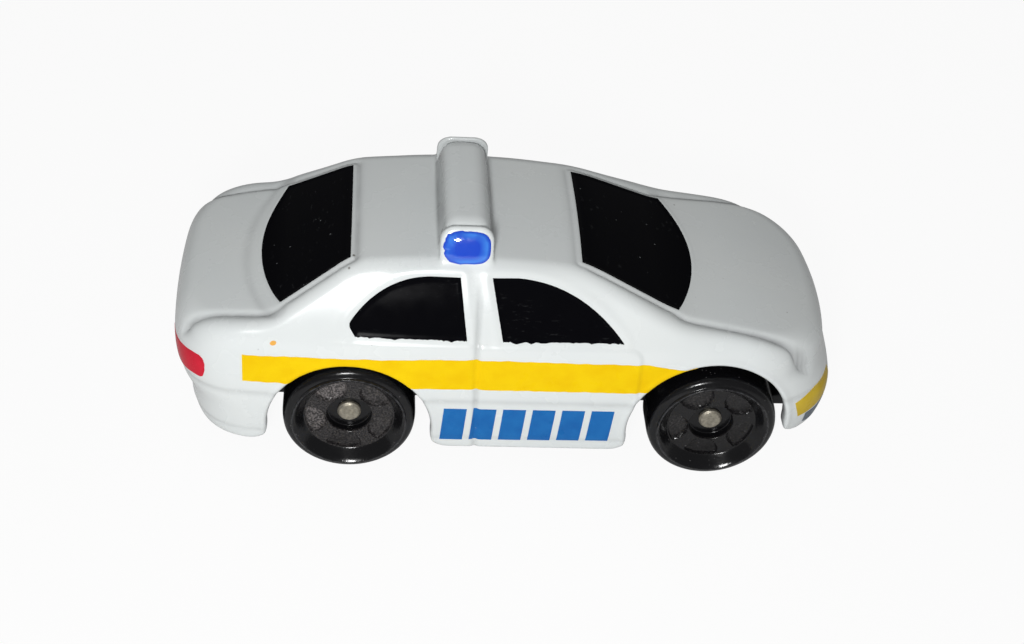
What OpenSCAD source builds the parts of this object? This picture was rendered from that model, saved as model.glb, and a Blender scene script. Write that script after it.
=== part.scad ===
// Toy police car: a die-cast saloon body on a moulded base, with two free-rolling wheel sets.
// X runs forward, Y to the car's left, Z up. The origin is on the ground under the middle of the car.

/* [Body] */
// Overall length, nose to tail
body_len = 75.9; // [72:0.1:80]
// Half width of the flank at the waist crease
flank_half = 15.15; // [14:0.05:17]
// How far the sill stands proud of the flank at the waist crease
sill_step = 0.15; // [0:0.05:0.4]
// Height of the waist crease
waist_z = 10.9; // [9:0.1:12]
// Inward lean of the sill below the crease, in degrees
sill_lean = 5.7; // [0:0.1:8]
// Radius of the flank's curve above the crease
flank_arc = 50; // [30:1:90]
// Height of the belt line, where the cabin starts to lean in
belt_z = 18.9; // [17:0.1:20]
// How far the cabin stands in from the flank at the belt line
belt_in = 0.85; // [0.3:0.05:1.6]
// Inward lean of the cabin sides, in degrees
cabin_lean = 31; // [25:0.1:38]
// Outward bow of the cabin sides at the light bar
cabin_bow = 0.65; // [0:0.05:1.2]
// Extra half width of the shoulders beside the bonnet and the boot
end_full = 0.4; // [0:0.05:0.8]
// Thickness of the casting
wall = 1.4; // [1:0.1:1.8]
// Height of the sill's lower edge
hem_z = 3.6; // [3.2:0.1:4.4]
// How much higher the lower edge is under the nose
nose_lift = 1.2; // [0:0.1:2]
// Rounding between the flanks and the two ends
corner_blend = 6; // [3:0.5:8]
// Rounding between the flanks and the upper surfaces
shoulder_blend = 1.1; // [0.8:0.1:2.4]

/* [Upper surfaces] */
// Height of the roof at its crown
roof_z = 26.9; // [25:0.1:29]
// How far the roof's crown lies behind the middle of the wheelbase
roof_back = 8.2; // [6:0.1:10]
// Radius of the roof's bow along the car
roof_arc = 94; // [70:1:140]
// Radius of the upper surfaces' bow across the car
cross_arc = 300; // [200:10:600]
// How far the windscreen's top lies behind the front axle
screen_back = 16; // [14:0.1:18]
// Height of the windscreen's plane at its top
screen_z = 26.1; // [25:0.05:27]
// Slope of the windscreen, in degrees
screen_tilt = 25; // [20:0.1:28]
// How far the rear window's top lies behind the rear axle
rear_back = 0.4; // [-1:0.05:2]
// Height of the rear window's plane at its top
rear_z = 25.85; // [25:0.05:27]
// Slope of the rear window, in degrees
rear_tilt = 33.4; // [28:0.1:38]
// How far the bonnet starts behind the front axle
bonnet_back = 2.6; // [1:0.1:4]
// Height of the bonnet at its start
bonnet_z = 20.7; // [19.5:0.1:21.5]
// Slope of the bonnet, in degrees
bonnet_tilt = 7; // [5:0.1:12]
// Radius of the bonnet's curve down to the nose
bonnet_arc = 49; // [35:1:70]
// How far the boot lid starts behind the rear axle
boot_back = 9.1; // [8:0.1:11]
// Height of the boot lid at its start
boot_z = 20.25; // [19.5:0.05:21]
// Slope of the boot lid, in degrees
boot_tilt = 6; // [3:0.1:9]
// Radius of the boot lid's curve down to the tail
boot_arc = 48; // [35:1:70]
// Width of the crease beside the raised band on the bonnet and the boot
crease_w = 0.7; // [0.4:0.05:1]
// Depth of that crease
crease_deep = 0.3; // [0.1:0.05:0.5]
// Half width of the raised band at the screens
band_half = 11.5; // [10:0.1:12.4]
// How much wider the band is at the nose
band_flare = 0.6; // [0:0.1:1]
// How much narrower the band is at the tail
band_narrow = 0.9; // [0:0.1:1.4]

/* [Ends] */
// Height at which the nose reaches furthest
nose_z = 9; // [8:0.1:11]
// Radius of the nose above that height
nose_upper_arc = 14.5; // [10:0.5:20]
// Radius of the nose below that height
nose_lower_arc = 10; // [7:0.5:16]
// Radius of the nose in plan
nose_plan_arc = 43; // [30:1:60]
// Depth of the fold above the front bumper
nose_fold = 0.8; // [0.2:0.05:1.2]
// Height of that fold
nose_fold_z = 13.5; // [12.5:0.1:15]
// Height at which the tail reaches furthest
tail_z = 13.8; // [12:0.1:15]
// Radius of the tail above that height
tail_upper_arc = 10; // [8:0.5:16]
// Radius of the tail below that height
tail_lower_arc = 22.5; // [14:0.5:30]
// Radius of the tail in plan
tail_plan_arc = 95; // [60:1:140]
// Depth of the fold under the tail lamps
tail_fold = 0.7; // [0.2:0.05:1.2]
// Height of that fold
tail_fold_z = 8.1; // [7:0.1:9.5]

/* [Light bar] */
// Width of the light bar along the car
bar_w = 6; // [5:0.1:7]
// How far the cast bar's ends stand in from the cabin's belt
bar_in = 6.4; // [5.5:0.1:8]
// Height of the light bar's top
bar_z = 30.2; // [29.6:0.1:31.2]
// Rounding of the light bar's section
bar_round = 1.4; // [0.8:0.1:1.8]
// Rim left round each lens
lens_rim = 0.45; // [0.3:0.05:0.8]
// How far each lens stands out of the bar
lens_out = 1.9; // [0.8:0.1:2.2]
// How deep each lens sits in the bar
lens_deep = 1; // [0.6:0.1:1.6]
// Radius of a lens's domed face
lens_dome = 4.2; // [3.8:0.1:8]

/* [Windows] */
// How far the panes lie below the body's surface
pane_recess = 0.3; // [0.1:0.05:0.5]
// Thickness of the panes
pane_t = 0.8; // [0.6:0.1:1]
// Clearance round each pane
pane_gap = 0.05; // [0.03:0.01:0.15]
// How far the windscreen's upper corners stand in from the cabin's belt
screen_top_in = 5.8; // [5:0.1:7]
// How far the windscreen's lower corners stand in from the cabin's belt
screen_low_in = 3.8; // [3.2:0.1:5]
// Length of the windscreen in plan, along its sides
screen_len = 10.8; // [9:0.1:12]
// How far the windscreen's lower edge bows forward
screen_bow = 2.7; // [1:0.1:3.5]
// How far the rear window's upper corners stand in from the cabin's belt
rear_top_in = 5.8; // [5:0.1:7]
// How far the rear window's lower corners stand in from the cabin's belt
rear_low_in = 3.5; // [3:0.1:5]
// Length of the rear window in plan, along its sides
rear_len = 7.3; // [6:0.1:8.5]
// How far the rear window's lower edge bows back
rear_bow = 2.6; // [1:0.1:3.5]
// Height of the side windows' lower edge
side_low_z = 19.2; // [18.4:0.1:20]
// Height of the side windows' upper edge
side_top_z = 25.3; // [24:0.1:25.4]
// How far the door pillar between the side windows lies ahead of the roof's crown, at the lower edge
pillar_ahead = 2.1; // [1:0.05:3]
// Width of that pillar
pillar_w = 3.8; // [3:0.1:5]
// Backward lean of that pillar, in degrees
pillar_lean = 11; // [6:0.5:16]
// How far the front side windows' tips lie behind the front axle
front_tip_back = 11.4; // [10.5:0.1:13]
// Radius of the front side windows' upper edge
front_arc = 16.9; // [15:0.1:19]
// How far the rear side windows' tips lie behind the rear axle
rear_tip_back = 0.95; // [-0.5:0.05:1.5]
// Width of the seam between the doors
seam_w = 0.5; // [0.3:0.05:0.8]
// Depth of that seam
seam_deep = 0.2; // [0.1:0.05:0.4]
// Radius of the rear side windows' upper edge
rear_arc = 10.7; // [10:0.1:13]
// Rounding of the windows' corners
pane_round = 0.5; // [0.2:0.05:0.8]

/* [Running gear] */
// Distance from the nose to the front axle
front_overhang = 15.1; // [14:0.1:16.5]
// Distance from the tail to the rear axle
rear_overhang = 19.8; // [18.5:0.1:21]
// Height of the axles
axle_z = 7.4; // [7:0.1:8]
// Diameter of the axles
axle_d = 2.6; // [2:0.1:3]
// Radial play of the axles in the base's bearings
axle_play = 0.06; // [0.02:0.01:0.1]
// Radial squeeze of the wheels on the axles
wheel_squeeze = 0.02; // [0.01:0.005:0.04]
// How far the wheels' outer rims stand in from the flanks
track_in = 0.05; // [0:0.05:0.6]
// Radius of the wheel rim's outer ridge
rim_r = 6.25; // [5.8:0.05:6.6]
// Width of a wheel
wheel_w = 5.5; // [4.5:0.1:6]
// Depth of the wheel's dish below the rim
dish_deep = 1.3; // [0.8:0.1:1.8]
// Radius of the wheel's dished face
dish_r = 5.3; // [4.8:0.05:5.6]
// Number of spokes
spokes = 5; // [3:1:7]
// Radius of the pockets between the spokes
pocket_r = 1.9; // [1.2:0.05:2]
// Depth of the pockets between the spokes
pocket_deep = 0.45; // [0.2:0.05:0.8]
// Radius of the hub's recess round the axle
hub_r = 2.5; // [2:0.05:3]
// Depth of the hub's recess
hub_deep = 0.9; // [0.4:0.05:1.4]
// Radius of the wheel arches
arch_r = 9.1; // [8.6:0.1:9.6]
// How far the rear arch's centre lies below the axle
rear_arch_drop = 1; // [0:0.1:1.5]
// How far the front arch's centre lies behind the axle
front_arch_back = 0.7; // [0:0.1:1]

/* [Base] */
// Thickness of the base plate
base_t = 1.6; // [1.2:0.1:2.2]
// Gap between the base and the casting
base_gap = 0.3; // [0.2:0.05:0.6]
// Width of an axle bearing across the car
bearing_w = 2.2; // [1.5:0.1:3]
// Wall round the bearing's bore
bearing_wall = 1.3; // [1:0.1:1.8]
// Side play between a wheel's hub and its bearing
side_play = 0.35; // [0.3:0.05:0.6]
// Clearance between a wheel arch and the cut-out in the base
cutout_gap = 0.8; // [0.5:0.1:1.2]
// Distance of the screws from the base plate's ends
screw_inset = 3.2; // [2.8:0.1:4]
// Diameter of the screws' shanks
screw_d = 2; // [1.6:0.1:2.4]
// Length of the screws' shanks
screw_len = 7; // [5:0.5:8]
// Diameter of the screws' heads
head_d = 3.6; // [3:0.1:4.2]
// Height of the screws' heads
head_h = 1; // [0.7:0.1:1.2]
// Diameter of the casting's screw posts
post_d = 4.2; // [3.6:0.1:4.8]
// Radial clearance round the screws
screw_gap = 0.08; // [0.05:0.01:0.2]
// Width of the drive slot in the screws' heads
slot_w = 0.6; // [0.4:0.05:0.8]
// Depth of the drive slot in the screws' heads
slot_deep = 0.5; // [0.3:0.05:0.7]

/* [Hidden] */
$fn = 64;

// Overshoot of cuts past the faces that they open
over = 1;

// Blending widths of creases that are sharp on the object
crease_blend = 0.4;
fold_blend = 0.8;
belt_blend = 1.5;

// Slope factors that turn offsets along one axis into rough distances
top_share = 0.9;
side_share = 0.85;

// Places along the car, from the axles
rear_axle_x = rear_overhang - body_len / 2;
front_axle_x = body_len / 2 - front_overhang;
roof_x = (rear_axle_x + front_axle_x) / 2 - roof_back;
bar_x = roof_x;
screen_x = front_axle_x - screen_back;
rear_x = rear_axle_x - rear_back;
bonnet_x = front_axle_x - bonnet_back;
boot_x = rear_axle_x - boot_back;
pillar_x = roof_x + pillar_ahead;
front_tip_x = front_axle_x - front_tip_back;
rear_tip_x = rear_axle_x - rear_tip_back;

// Places across the car, from the flanks
track_half = flank_half - track_in;
belt_half = flank_half - belt_in;
bar_len = 2 * (belt_half - bar_in);
screen_top_half = belt_half - screen_top_in;
screen_low_half = belt_half - screen_low_in;
rear_top_half = belt_half - rear_top_in;
rear_low_half = belt_half - rear_low_in;
wheel_r = axle_z;
axle_r = axle_d / 2;

// Plan taper of the flanks towards the two ends
front_taper_back = 11.1;
front_taper_arc = 210;
rear_taper_ahead = 3.9;
rear_taper_arc = 200;
front_taper_x = front_axle_x - front_taper_back;
rear_taper_x = rear_axle_x + rear_taper_ahead;

// Stretch of the cabin's bow, and where the shoulders fill out beyond it
bow_len = 11;
full_from = 15;
full_to = 25;

// Heights over which the folds at both ends fade
nose_fold_h = 2.5;
tail_fold_h = 2.2;

// Stations at which the bonnet and the boot lid start to fall
bonnet_flat = 3.5;
boot_flat = 2;
bonnet_fall_x = bonnet_x + bonnet_flat;
boot_fall_x = boot_x - boot_flat;

// Stretch over which the lower edge rises to the nose
lift_back = 1.1;
lift_run = 10;
lift_from = front_axle_x - lift_back;
lift_to = lift_from + lift_run;

// Smooth blends and gentle curves
function smax(a, b, k) = let(h = max(k - abs(a - b), 0) / k) max(a, b) + h * h * k / 4;
function smin(a, b, k) = -smax(-a, -b, k);
function ramp(t, a, b) = let(u = min(max((t - a) / (b - a), 0), 1)) u * u * (3 - 2 * u);
function fall(d, r) = d * d / (2 * r);
function past(d) = max(d, 0);
function bell(d, w) = exp(-d * d / (w * w));

// Height of the upper surfaces along the car
function roof_line(x) = roof_z - fall(x - roof_x, roof_arc);
function screen_line(x) = screen_z - (x - screen_x) * tan(screen_tilt);
function rear_line(x) = rear_z + (x - rear_x) * tan(rear_tilt);
function bonnet_line(x) =
    bonnet_z - (x - bonnet_x) * tan(bonnet_tilt) - fall(past(x - bonnet_fall_x), bonnet_arc);
function boot_line(x) =
    boot_z + (x - boot_x) * tan(boot_tilt) - fall(past(boot_fall_x - x), boot_arc);
function top_line(x) =
    let(front = smax(screen_line(x), bonnet_line(x), fold_blend))
    let(back = smax(rear_line(x), boot_line(x), fold_blend))
    smin(smin(roof_line(x), front, fold_blend), back, fold_blend);

// Half width of the body at a height
function half_width(x, z) =
    let(low = flank_half + sill_step + tan(sill_lean) * (z - waist_z))
    let(high = flank_half - fall(past(z - waist_z), flank_arc))
    let(bow = cabin_bow * bell(x - roof_x, bow_len) + end_full * ramp(abs(x - roof_x), full_from, full_to))
    let(cabin = belt_half + bow - tan(cabin_lean) * (z - belt_z))
    smin(smin(low, high, crease_blend), cabin, belt_blend)
    - fall(past(x - front_taper_x), front_taper_arc)
    - fall(past(rear_taper_x - x), rear_taper_arc);

// Reach of the nose and the tail
function nose_reach(y, z) =
    body_len / 2 - nose_fold * bell(z - nose_fold_z, nose_fold_h) - fall(past(z - nose_z), nose_upper_arc)
    - fall(past(nose_z - z), nose_lower_arc) - fall(y, nose_plan_arc);
function tail_reach(y, z) =
    -body_len / 2 + tail_fold * bell(z - tail_fold_z, tail_fold_h) + fall(past(z - tail_z), tail_upper_arc)
    + fall(past(tail_z - z), tail_lower_arc) + fall(y, tail_plan_arc);

// Depth below the body's surface, negative inside
function depth(p) =
    let(top = (p.z - top_line(p.x) + fall(p.y, cross_arc)) * top_share)
    let(side = (abs(p.y) - half_width(p.x, p.z)) * side_share)
    let(nose = (p.x - nose_reach(p.y, p.z)) * side_share)
    let(tail = tail_reach(p.y, p.z) - p.x)
    smax(smax(smax(side, nose, corner_blend), tail, corner_blend), top, shoulder_blend);

// Distance from a point inside, along a direction, to where the depth is -d
far = 45;
halvings = 15;
function reach(o, dir, d, lo = 0, hi = far, n = halvings) =
    let(mid = (lo + hi) / 2)
    n == 0 ? mid
    : depth(o + dir * mid) < -d ? reach(o, dir, d, mid, hi, n - 1)
    : reach(o, dir, d, lo, mid, n - 1);

// Rings round the body: they start at the lower edge and climb to a spine along the top
tail_inset = 12;
nose_inset = 13;
spine_from = -body_len / 2 + tail_inset;
spine_to = body_len / 2 - nose_inset;
spine_z = 12;
spine_steps = 30;
end_steps = 16;
low_rings = 6;
high_rings = 22;
inner_low_rings = 3;
inner_high_rings = 9;
loop_count = 2 * spine_steps + 2 * end_steps;
lift_reach = 12;

function spine_x(k) = spine_from + (spine_to - spine_from) * k / spine_steps;
function spine_of(i) =
    i <= spine_steps ? i
    : i < spine_steps + end_steps ? spine_steps
    : i <= 2 * spine_steps + end_steps ? 2 * spine_steps + end_steps - i
    : 0;
function heading(i) =
    i <= spine_steps ? -90
    : i < spine_steps + end_steps ? -90 + 180 * (i - spine_steps) / end_steps
    : i <= 2 * spine_steps + end_steps ? 90
    : 90 + 180 * (i - 2 * spine_steps - end_steps) / end_steps;
function lower_edge(x) = hem_z + nose_lift * ramp(x, lift_from, lift_to);
function low_point(i, t, d) =
    let(x = spine_x(spine_of(i)))
    let(dir = [cos(heading(i)), sin(heading(i)), 0])
    let(edge = lower_edge(x + lift_reach * dir.x))
    let(o = [x, 0, edge + (spine_z - edge) * t])
    o + dir * reach(o, dir, d);
// Angle of a ring above the spine, with the rings gathered at the shoulders
gather = 0.5;
function climb(t) = 90 * (t + gather * sin(360 * t) / (2 * PI));
function high_point(i, t, d) =
    let(o = [spine_x(spine_of(i)), 0, spine_z])
    let(flat = [cos(heading(i)), sin(heading(i)), 0])
    let(a = climb(t))
    let(dir = flat * cos(a) + [0, 0, sin(a)])
    o + dir * reach(o, dir, d);
function spine_point(k, d) = [spine_x(k), 0, spine_z] + [0, 0, reach([spine_x(k), 0, spine_z], [0, 0, 1], d)];

function skin_points(lows, highs, d) = concat(
    [for (j = [0:lows - 1], i = [0:loop_count - 1]) low_point(i, j / lows, d)],
    [for (j = [0:highs - 1], i = [0:loop_count - 1]) high_point(i, j / highs, d)],
    [for (k = [0:spine_steps]) spine_point(k, d)]
);
function skin_faces(rings, from) = concat(
    [for (j = [0:rings - 2], i = [0:loop_count - 1])
        let(a = from + j * loop_count, b = a + loop_count, n = (i + 1) % loop_count)
        each [[a + i, b + i, b + n], [a + i, b + n, a + n]]],
    [for (i = [0:loop_count - 1])
        let(a = from + (rings - 1) * loop_count, s = from + rings * loop_count, n = (i + 1) % loop_count)
        each spine_of(i) == spine_of(n)
            ? [[a + i, s + spine_of(i), a + n]]
            : [[a + i, s + spine_of(i), s + spine_of(n)], [a + i, s + spine_of(n), a + n]]]
);
function reversed(faces) = [for (f = faces) [f[2], f[1], f[0]]];

module hollow_skin() {
    outer = skin_points(low_rings, high_rings, 0);
    inner = skin_points(inner_low_rings, inner_high_rings, wall);
    start = len(outer);
    edge = [for (i = [0:loop_count - 1])
        let(n = (i + 1) % loop_count)
        each [[start + i, i, n], [start + i, n, start + n]]];
    faces = concat(
        skin_faces(low_rings + high_rings, 0),
        reversed(skin_faces(inner_low_rings + inner_high_rings, start)),
        edge
    );
    polyhedron(concat(outer, inner), faces);
}

// Outlines of the windows
function bow_radius(half, bow) = (half * half + bow * bow) / (2 * bow);
module bowed_pane(x, length, top_half, low_half, bow) {
    r = bow_radius(low_half, bow);
    intersection() {
        polygon([
            [x, -top_half], [x + length, -low_half],
            [x + length + bow, -low_half], [x + length + bow, low_half],
            [x + length, low_half], [x, top_half]
        ]);
        translate([x + length + bow - r, 0]) circle(r);
    }
}
module softened() {
    offset(r = pane_round) offset(delta = -pane_round) children();
}
module screen_outline() {
    softened() bowed_pane(screen_x, screen_len, screen_top_half, screen_low_half, screen_bow);
}
module rear_outline() {
    softened() mirror([1, 0]) bowed_pane(-rear_x, rear_len, rear_top_half, rear_low_half, rear_bow);
}

// A side window: a lower edge, a leaning pillar edge and an arc down to a tip
side_rise = side_top_z - side_low_z;
module side_outline(pillar, tip, r) {
    sense = sign(tip - pillar);
    peak = pillar - side_rise * tan(pillar_lean);
    span = abs(tip - pillar);
    drop_down = r - side_rise;
    centre = tip - sense * sqrt(r * r - drop_down * drop_down);
    intersection() {
        polygon([[pillar, side_low_z], [tip + sense * over, side_low_z],
            [tip + sense * over, side_top_z], [peak, side_top_z]]);
        translate([centre, side_top_z - r]) union() {
            circle(r);
            translate([sense > 0 ? -span : 0, 0]) square([span, r]);
        }
    }
}
module front_side_outline() {
    softened() side_outline(pillar_x + pillar_w / 2, front_tip_x, front_arc);
}
module rear_side_outline() {
    softened() side_outline(pillar_x - pillar_w / 2, rear_tip_x, rear_arc);
}

// Prisms of the outlines: upright for the two screens, across the car for the side windows
module upright(z0, z1) {
    translate([0, 0, z0]) linear_extrude(z1 - z0) children();
}
module across(y0, y1) {
    translate([0, y1, 0]) rotate([90, 0, 0]) linear_extrude(y1 - y0) children();
}

// Slabs that follow the body between two depths, wide enough to be trimmed to an outline
slab_cells = 12;
slab_rows = 8;
function slab_faces(nu, nv) =
    let(w = nv + 1)
    let(lower = (nu + 1) * w)
    concat(
        [for (i = [0:nu - 1], j = [0:nv - 1])
            let(a = i * w + j, b = a + w)
            each [[a, a + 1, b + 1], [a, b + 1, b],
                [lower + b + 1, lower + a + 1, lower + a], [lower + b, lower + b + 1, lower + a]]],
        [for (i = [0:nu - 1])
            let(a = i * w, b = a + w)
            each [[a, b, lower + b], [a, lower + b, lower + a],
                [b + nv, a + nv, lower + a + nv], [b + nv, lower + a + nv, lower + b + nv]]],
        [for (j = [0:nv - 1])
            let(a = j, c = nu * w + j)
            each [[a + 1, a, lower + a], [a + 1, lower + a, lower + a + 1],
                [c, c + 1, lower + c + 1], [c, lower + c + 1, lower + c]]]
    );
function top_point(x, y, d) = let(o = [x, y, spine_z]) o + [0, 0, reach(o, [0, 0, 1], d)];
function side_point(x, z, d) = let(o = [x, 0, z]) o + [0, -reach(o, [0, -1, 0], d), 0];
module top_slab(x0, x1, half, d0, d1) {
    points = [for (d = [d0, d1], i = [0:slab_cells], j = [0:slab_rows])
        top_point(x0 + (x1 - x0) * i / slab_cells, -half + 2 * half * j / slab_rows, d)];
    polyhedron(points, slab_faces(slab_cells, slab_rows));
}
slab_room = 0.1;
module side_slab(x0, x1, z0, z1, d0, d1) {
    points = [for (d = [d0, d1], i = [0:slab_cells], j = [0:slab_rows])
        let(x = x0 + (x1 - x0) * i / slab_cells)
        let(top = min(z1, top_line(x) - d1 / top_share - slab_room))
        side_point(x, z0 + (top - z0) * j / slab_rows, d)];
    polyhedron(points, slab_faces(slab_cells, slab_rows));
}

// Cuts that follow the surface: the seam between the doors, and the creases beside the raised band
seam_top_z = side_low_z - seam_w;
module door_seam() {
    x = pillar_x - seam_w;
    points = [for (d = [-over, seam_deep], i = [0, 1], j = [0:slab_rows])
        side_point(x + (i - 1 / 2) * seam_w, hem_z - over + (seam_top_z - hem_z + over) * j / slab_rows, d)];
    polyhedron(points, slab_faces(1, slab_rows));
}
module band_crease(x0, half0, x1, half1) {
    points = [for (d = [-over, crease_deep], i = [0:slab_cells], j = [0, 1])
        let(t = i / slab_cells)
        top_point(x0 + (x1 - x0) * t, -half0 - (half1 - half0) * t + (j - 1 / 2) * crease_w, d)];
    polyhedron(points, slab_faces(slab_cells, 1));
}
boot_crease_len = 8;
bonnet_crease_len = 9;
module surface_lines() {
    door_seam();
    band_crease(boot_x - boot_crease_len, band_half - band_narrow, boot_x, band_half);
    band_crease(bonnet_x - bonnet_back, band_half, bonnet_x + bonnet_crease_len, band_half + band_flare);
}

module body_shell() {
    color("white") union() {
        difference() {
            union() {
                hollow_skin();
                light_bar();
            }
            arch_cut(rear_axle_x, axle_z - rear_arch_drop);
            arch_cut(front_axle_x - front_arch_back, axle_z);
            upright(spine_z, roof_z + over) screen_outline();
            upright(spine_z, roof_z + over) rear_outline();
            for (s = [-1, 1]) lens_pocket(s);
            for (s = [0, 1]) mirror([0, s, 0]) {
                across(-flank_half, -screen_top_half + over) front_side_outline();
                across(-flank_half, -screen_top_half + over) rear_side_outline();
                surface_lines();
            }
        }
        for (x = screw_places) screw_post(x);
    }
}

module arch_cut(x, z) {
    translate([x, flank_half + over, z])
        rotate([90, 0, 0])
            cylinder(r = arch_r, h = 2 * (flank_half + over));
}

// The light bar: a rounded section across the roof, with a pocket for a lens at each end
bar_foot_z = roof_z - wall;
module rounded_box(w, h, r) {
    translate([-w / 2 + r, -h / 2]) square([w - 2 * r, h]);
    translate([-w / 2, -h / 2 + r]) square([w, h - 2 * r]);
    for (x = [-1, 1], z = [-1, 1]) translate([x * (w / 2 - r), z * (h / 2 - r)]) circle(r);
}
module bar_section(inset) {
    translate([bar_x, (bar_z + bar_foot_z) / 2])
        rounded_box(bar_w - 2 * inset, bar_z - bar_foot_z - 2 * inset, bar_round - inset);
}
module light_bar() {
    across(-bar_len / 2, bar_len / 2) bar_section(0);
}
module lens_pocket(s) {
    from = bar_len / 2 - lens_deep;
    mirror([0, s > 0 ? 1 : 0, 0]) across(-bar_len / 2 - lens_out - over, -from) bar_section(lens_rim);
}
module beacon_lens(s) {
    out = bar_len / 2 + lens_out;
    color("royalblue") mirror([0, s > 0 ? 1 : 0, 0]) intersection() {
        across(-out, -bar_len / 2 + lens_deep - pane_gap) bar_section(lens_rim + pane_gap);
        translate([bar_x, -out + lens_dome, (bar_z + bar_foot_z) / 2]) sphere(lens_dome);
    }
}

// Panes
pane_back = pane_recess + pane_t;
module windscreen() {
    color("black") intersection() {
        top_slab(screen_x - over, screen_x + screen_len + screen_bow + over,
            screen_low_half + over, pane_recess, pane_back);
        upright(spine_z, roof_z + over) offset(delta = -pane_gap) screen_outline();
    }
}
module rear_window() {
    color("black") intersection() {
        top_slab(rear_x - rear_len - rear_bow - over, rear_x + over,
            rear_low_half + over, pane_recess, pane_back);
        upright(spine_z, roof_z + over) offset(delta = -pane_gap) rear_outline();
    }
}
module side_window(x0, x1) {
    color("black") intersection() {
        side_slab(x0, x1, side_low_z - over, side_top_z + pane_gap, pane_recess, pane_back);
        across(-flank_half - over, 0) offset(delta = -pane_gap) children();
    }
}
module front_side_window() {
    side_window(pillar_x - pillar_w, front_tip_x + 2 * over) front_side_outline();
}
module rear_side_window() {
    side_window(rear_tip_x - 2 * over, pillar_x + pillar_w) rear_side_outline();
}

// Screw posts hang from the casting down to the base
base_z = hem_z;
post_foot_z = base_z + base_t;
base_inset = wall + base_gap;
base_front = spine_to + reach([spine_to, 0, base_z], [1, 0, 0], base_inset);
base_back = spine_from - reach([spine_from, 0, base_z], [-1, 0, 0], base_inset);
screw_places = [base_front - screw_inset, base_back + screw_inset];
seat_z = base_z + head_h;
bore_top_z = seat_z + screw_len + over;
module screw_post(x) {
    top = top_point(x + sign(x) * post_d / 2, 0, wall / 2).z;
    translate([x, 0, post_foot_z]) difference() {
        cylinder(d = post_d, h = top - post_foot_z);
        translate([0, 0, -over]) cylinder(d = screw_d + 2 * screw_gap, h = bore_top_z - post_foot_z + over);
    }
}

// The base: a plate inside the casting's lower edge, with axle bearings and wheel cut-outs
hub_back = track_half - wheel_w;
bearing_out = hub_back - side_play;
function base_point(i) =
    let(o = [spine_x(spine_of(i)), 0, base_z])
    let(dir = [cos(heading(i)), sin(heading(i)), 0])
    let(p = o + dir * reach(o, dir, base_inset))
    [p.x, p.y];
module base_outline() {
    polygon([for (i = [0:loop_count - 1]) base_point(i)]);
}
cutout_half = arch_r + cutout_gap;
module wheel_cutout(from, to) {
    for (s = [-1, 1])
        translate([from, s > 0 ? bearing_out : -bearing_out - flank_half])
            square([to - from, flank_half]);
}
module bearing(x) {
    r = axle_r + axle_play + bearing_wall;
    for (s = [-1, 1])
        translate([x, s > 0 ? bearing_out : bearing_w - bearing_out, 0])
            rotate([90, 0, 0]) linear_extrude(bearing_w) {
                translate([0, axle_z]) circle(r);
                translate([-r, base_z]) square([2 * r, axle_z - base_z]);
            }
}
module base_plate() {
    color("dimgray") difference() {
        union() {
            translate([0, 0, base_z]) linear_extrude(base_t) difference() {
                base_outline();
                wheel_cutout(rear_axle_x - cutout_half, rear_axle_x + cutout_half);
                wheel_cutout(front_axle_x - cutout_half, base_front + over);
            }
            bearing(rear_axle_x);
            bearing(front_axle_x);
        }
        for (x = [rear_axle_x, front_axle_x])
            translate([x, flank_half, axle_z])
                rotate([90, 0, 0])
                    cylinder(r = axle_r + axle_play, h = 2 * flank_half);
        for (x = screw_places) {
            translate([x, 0, base_z - over]) cylinder(d = screw_d + 2 * screw_gap, h = base_t + 2 * over);
            translate([x, 0, base_z - over]) cylinder(d = head_d + 2 * screw_gap, h = head_h + over);
        }
    }
}

// Screws: a shank, a head and a cross slot
module screw(x) {
    color("silver") translate([x, 0, base_z]) difference() {
        union() {
            cylinder(d = head_d, h = head_h);
            cylinder(d = screw_d, h = head_h + screw_len);
        }
        for (a = [0, 90])
            rotate(a) translate([-head_d / 2 - over, -slot_w / 2, -over])
                cube([head_d + 2 * over, slot_w, slot_deep + over]);
    }
}

// Axles end inside the wheels' hub recesses
axle_proud = 0.5;
axle_end = track_half - dish_deep - hub_deep + axle_proud;
axle_chamfer = 0.2;
module axle(x) {
    color("silver") translate([x, 0, axle_z]) rotate([90, 0, 0]) rotate_extrude()
        polygon([
            [0, -axle_end], [axle_r - axle_chamfer, -axle_end], [axle_r, -axle_end + axle_chamfer],
            [axle_r, axle_end - axle_chamfer], [axle_r - axle_chamfer, axle_end], [0, axle_end]
        ]);
}

// Wheels: a moulded tyre and dished rim in one piece, turned about the axle
shoulder = 1.1;
shoulder_from = -70;
lip = 0.35;
back_round = 0.8;
back_web = 2;
hub_out = 2.6;
arc_steps = 6;
function arc(c, r, from, to) = [for (k = [0:arc_steps])
    let(a = from + (to - from) * k / arc_steps)
    [c[0] + r * cos(a), c[1] + r * sin(a)]];
module wheel_profile() {
    bore = axle_r - wheel_squeeze;
    polygon(concat(
        [[bore, dish_deep + hub_deep], [hub_r, dish_deep + hub_deep], [hub_r, dish_deep]],
        [[dish_r - lip, dish_deep], [dish_r, dish_deep - lip]],
        arc([rim_r - lip / 2, lip / 2], lip / 2, 180, 360),
        arc([wheel_r - shoulder, lip + shoulder], shoulder, shoulder_from, 0),
        arc([wheel_r - back_round, wheel_w - back_round], back_round, 0, 90),
        [[rim_r - lip, wheel_w], [rim_r - lip, wheel_w - back_web]],
        [[hub_out, wheel_w - back_web], [hub_out, wheel_w], [bore, wheel_w]]
    ));
}
pocket_place = 4.5;
pocket_turn = 47;
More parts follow.
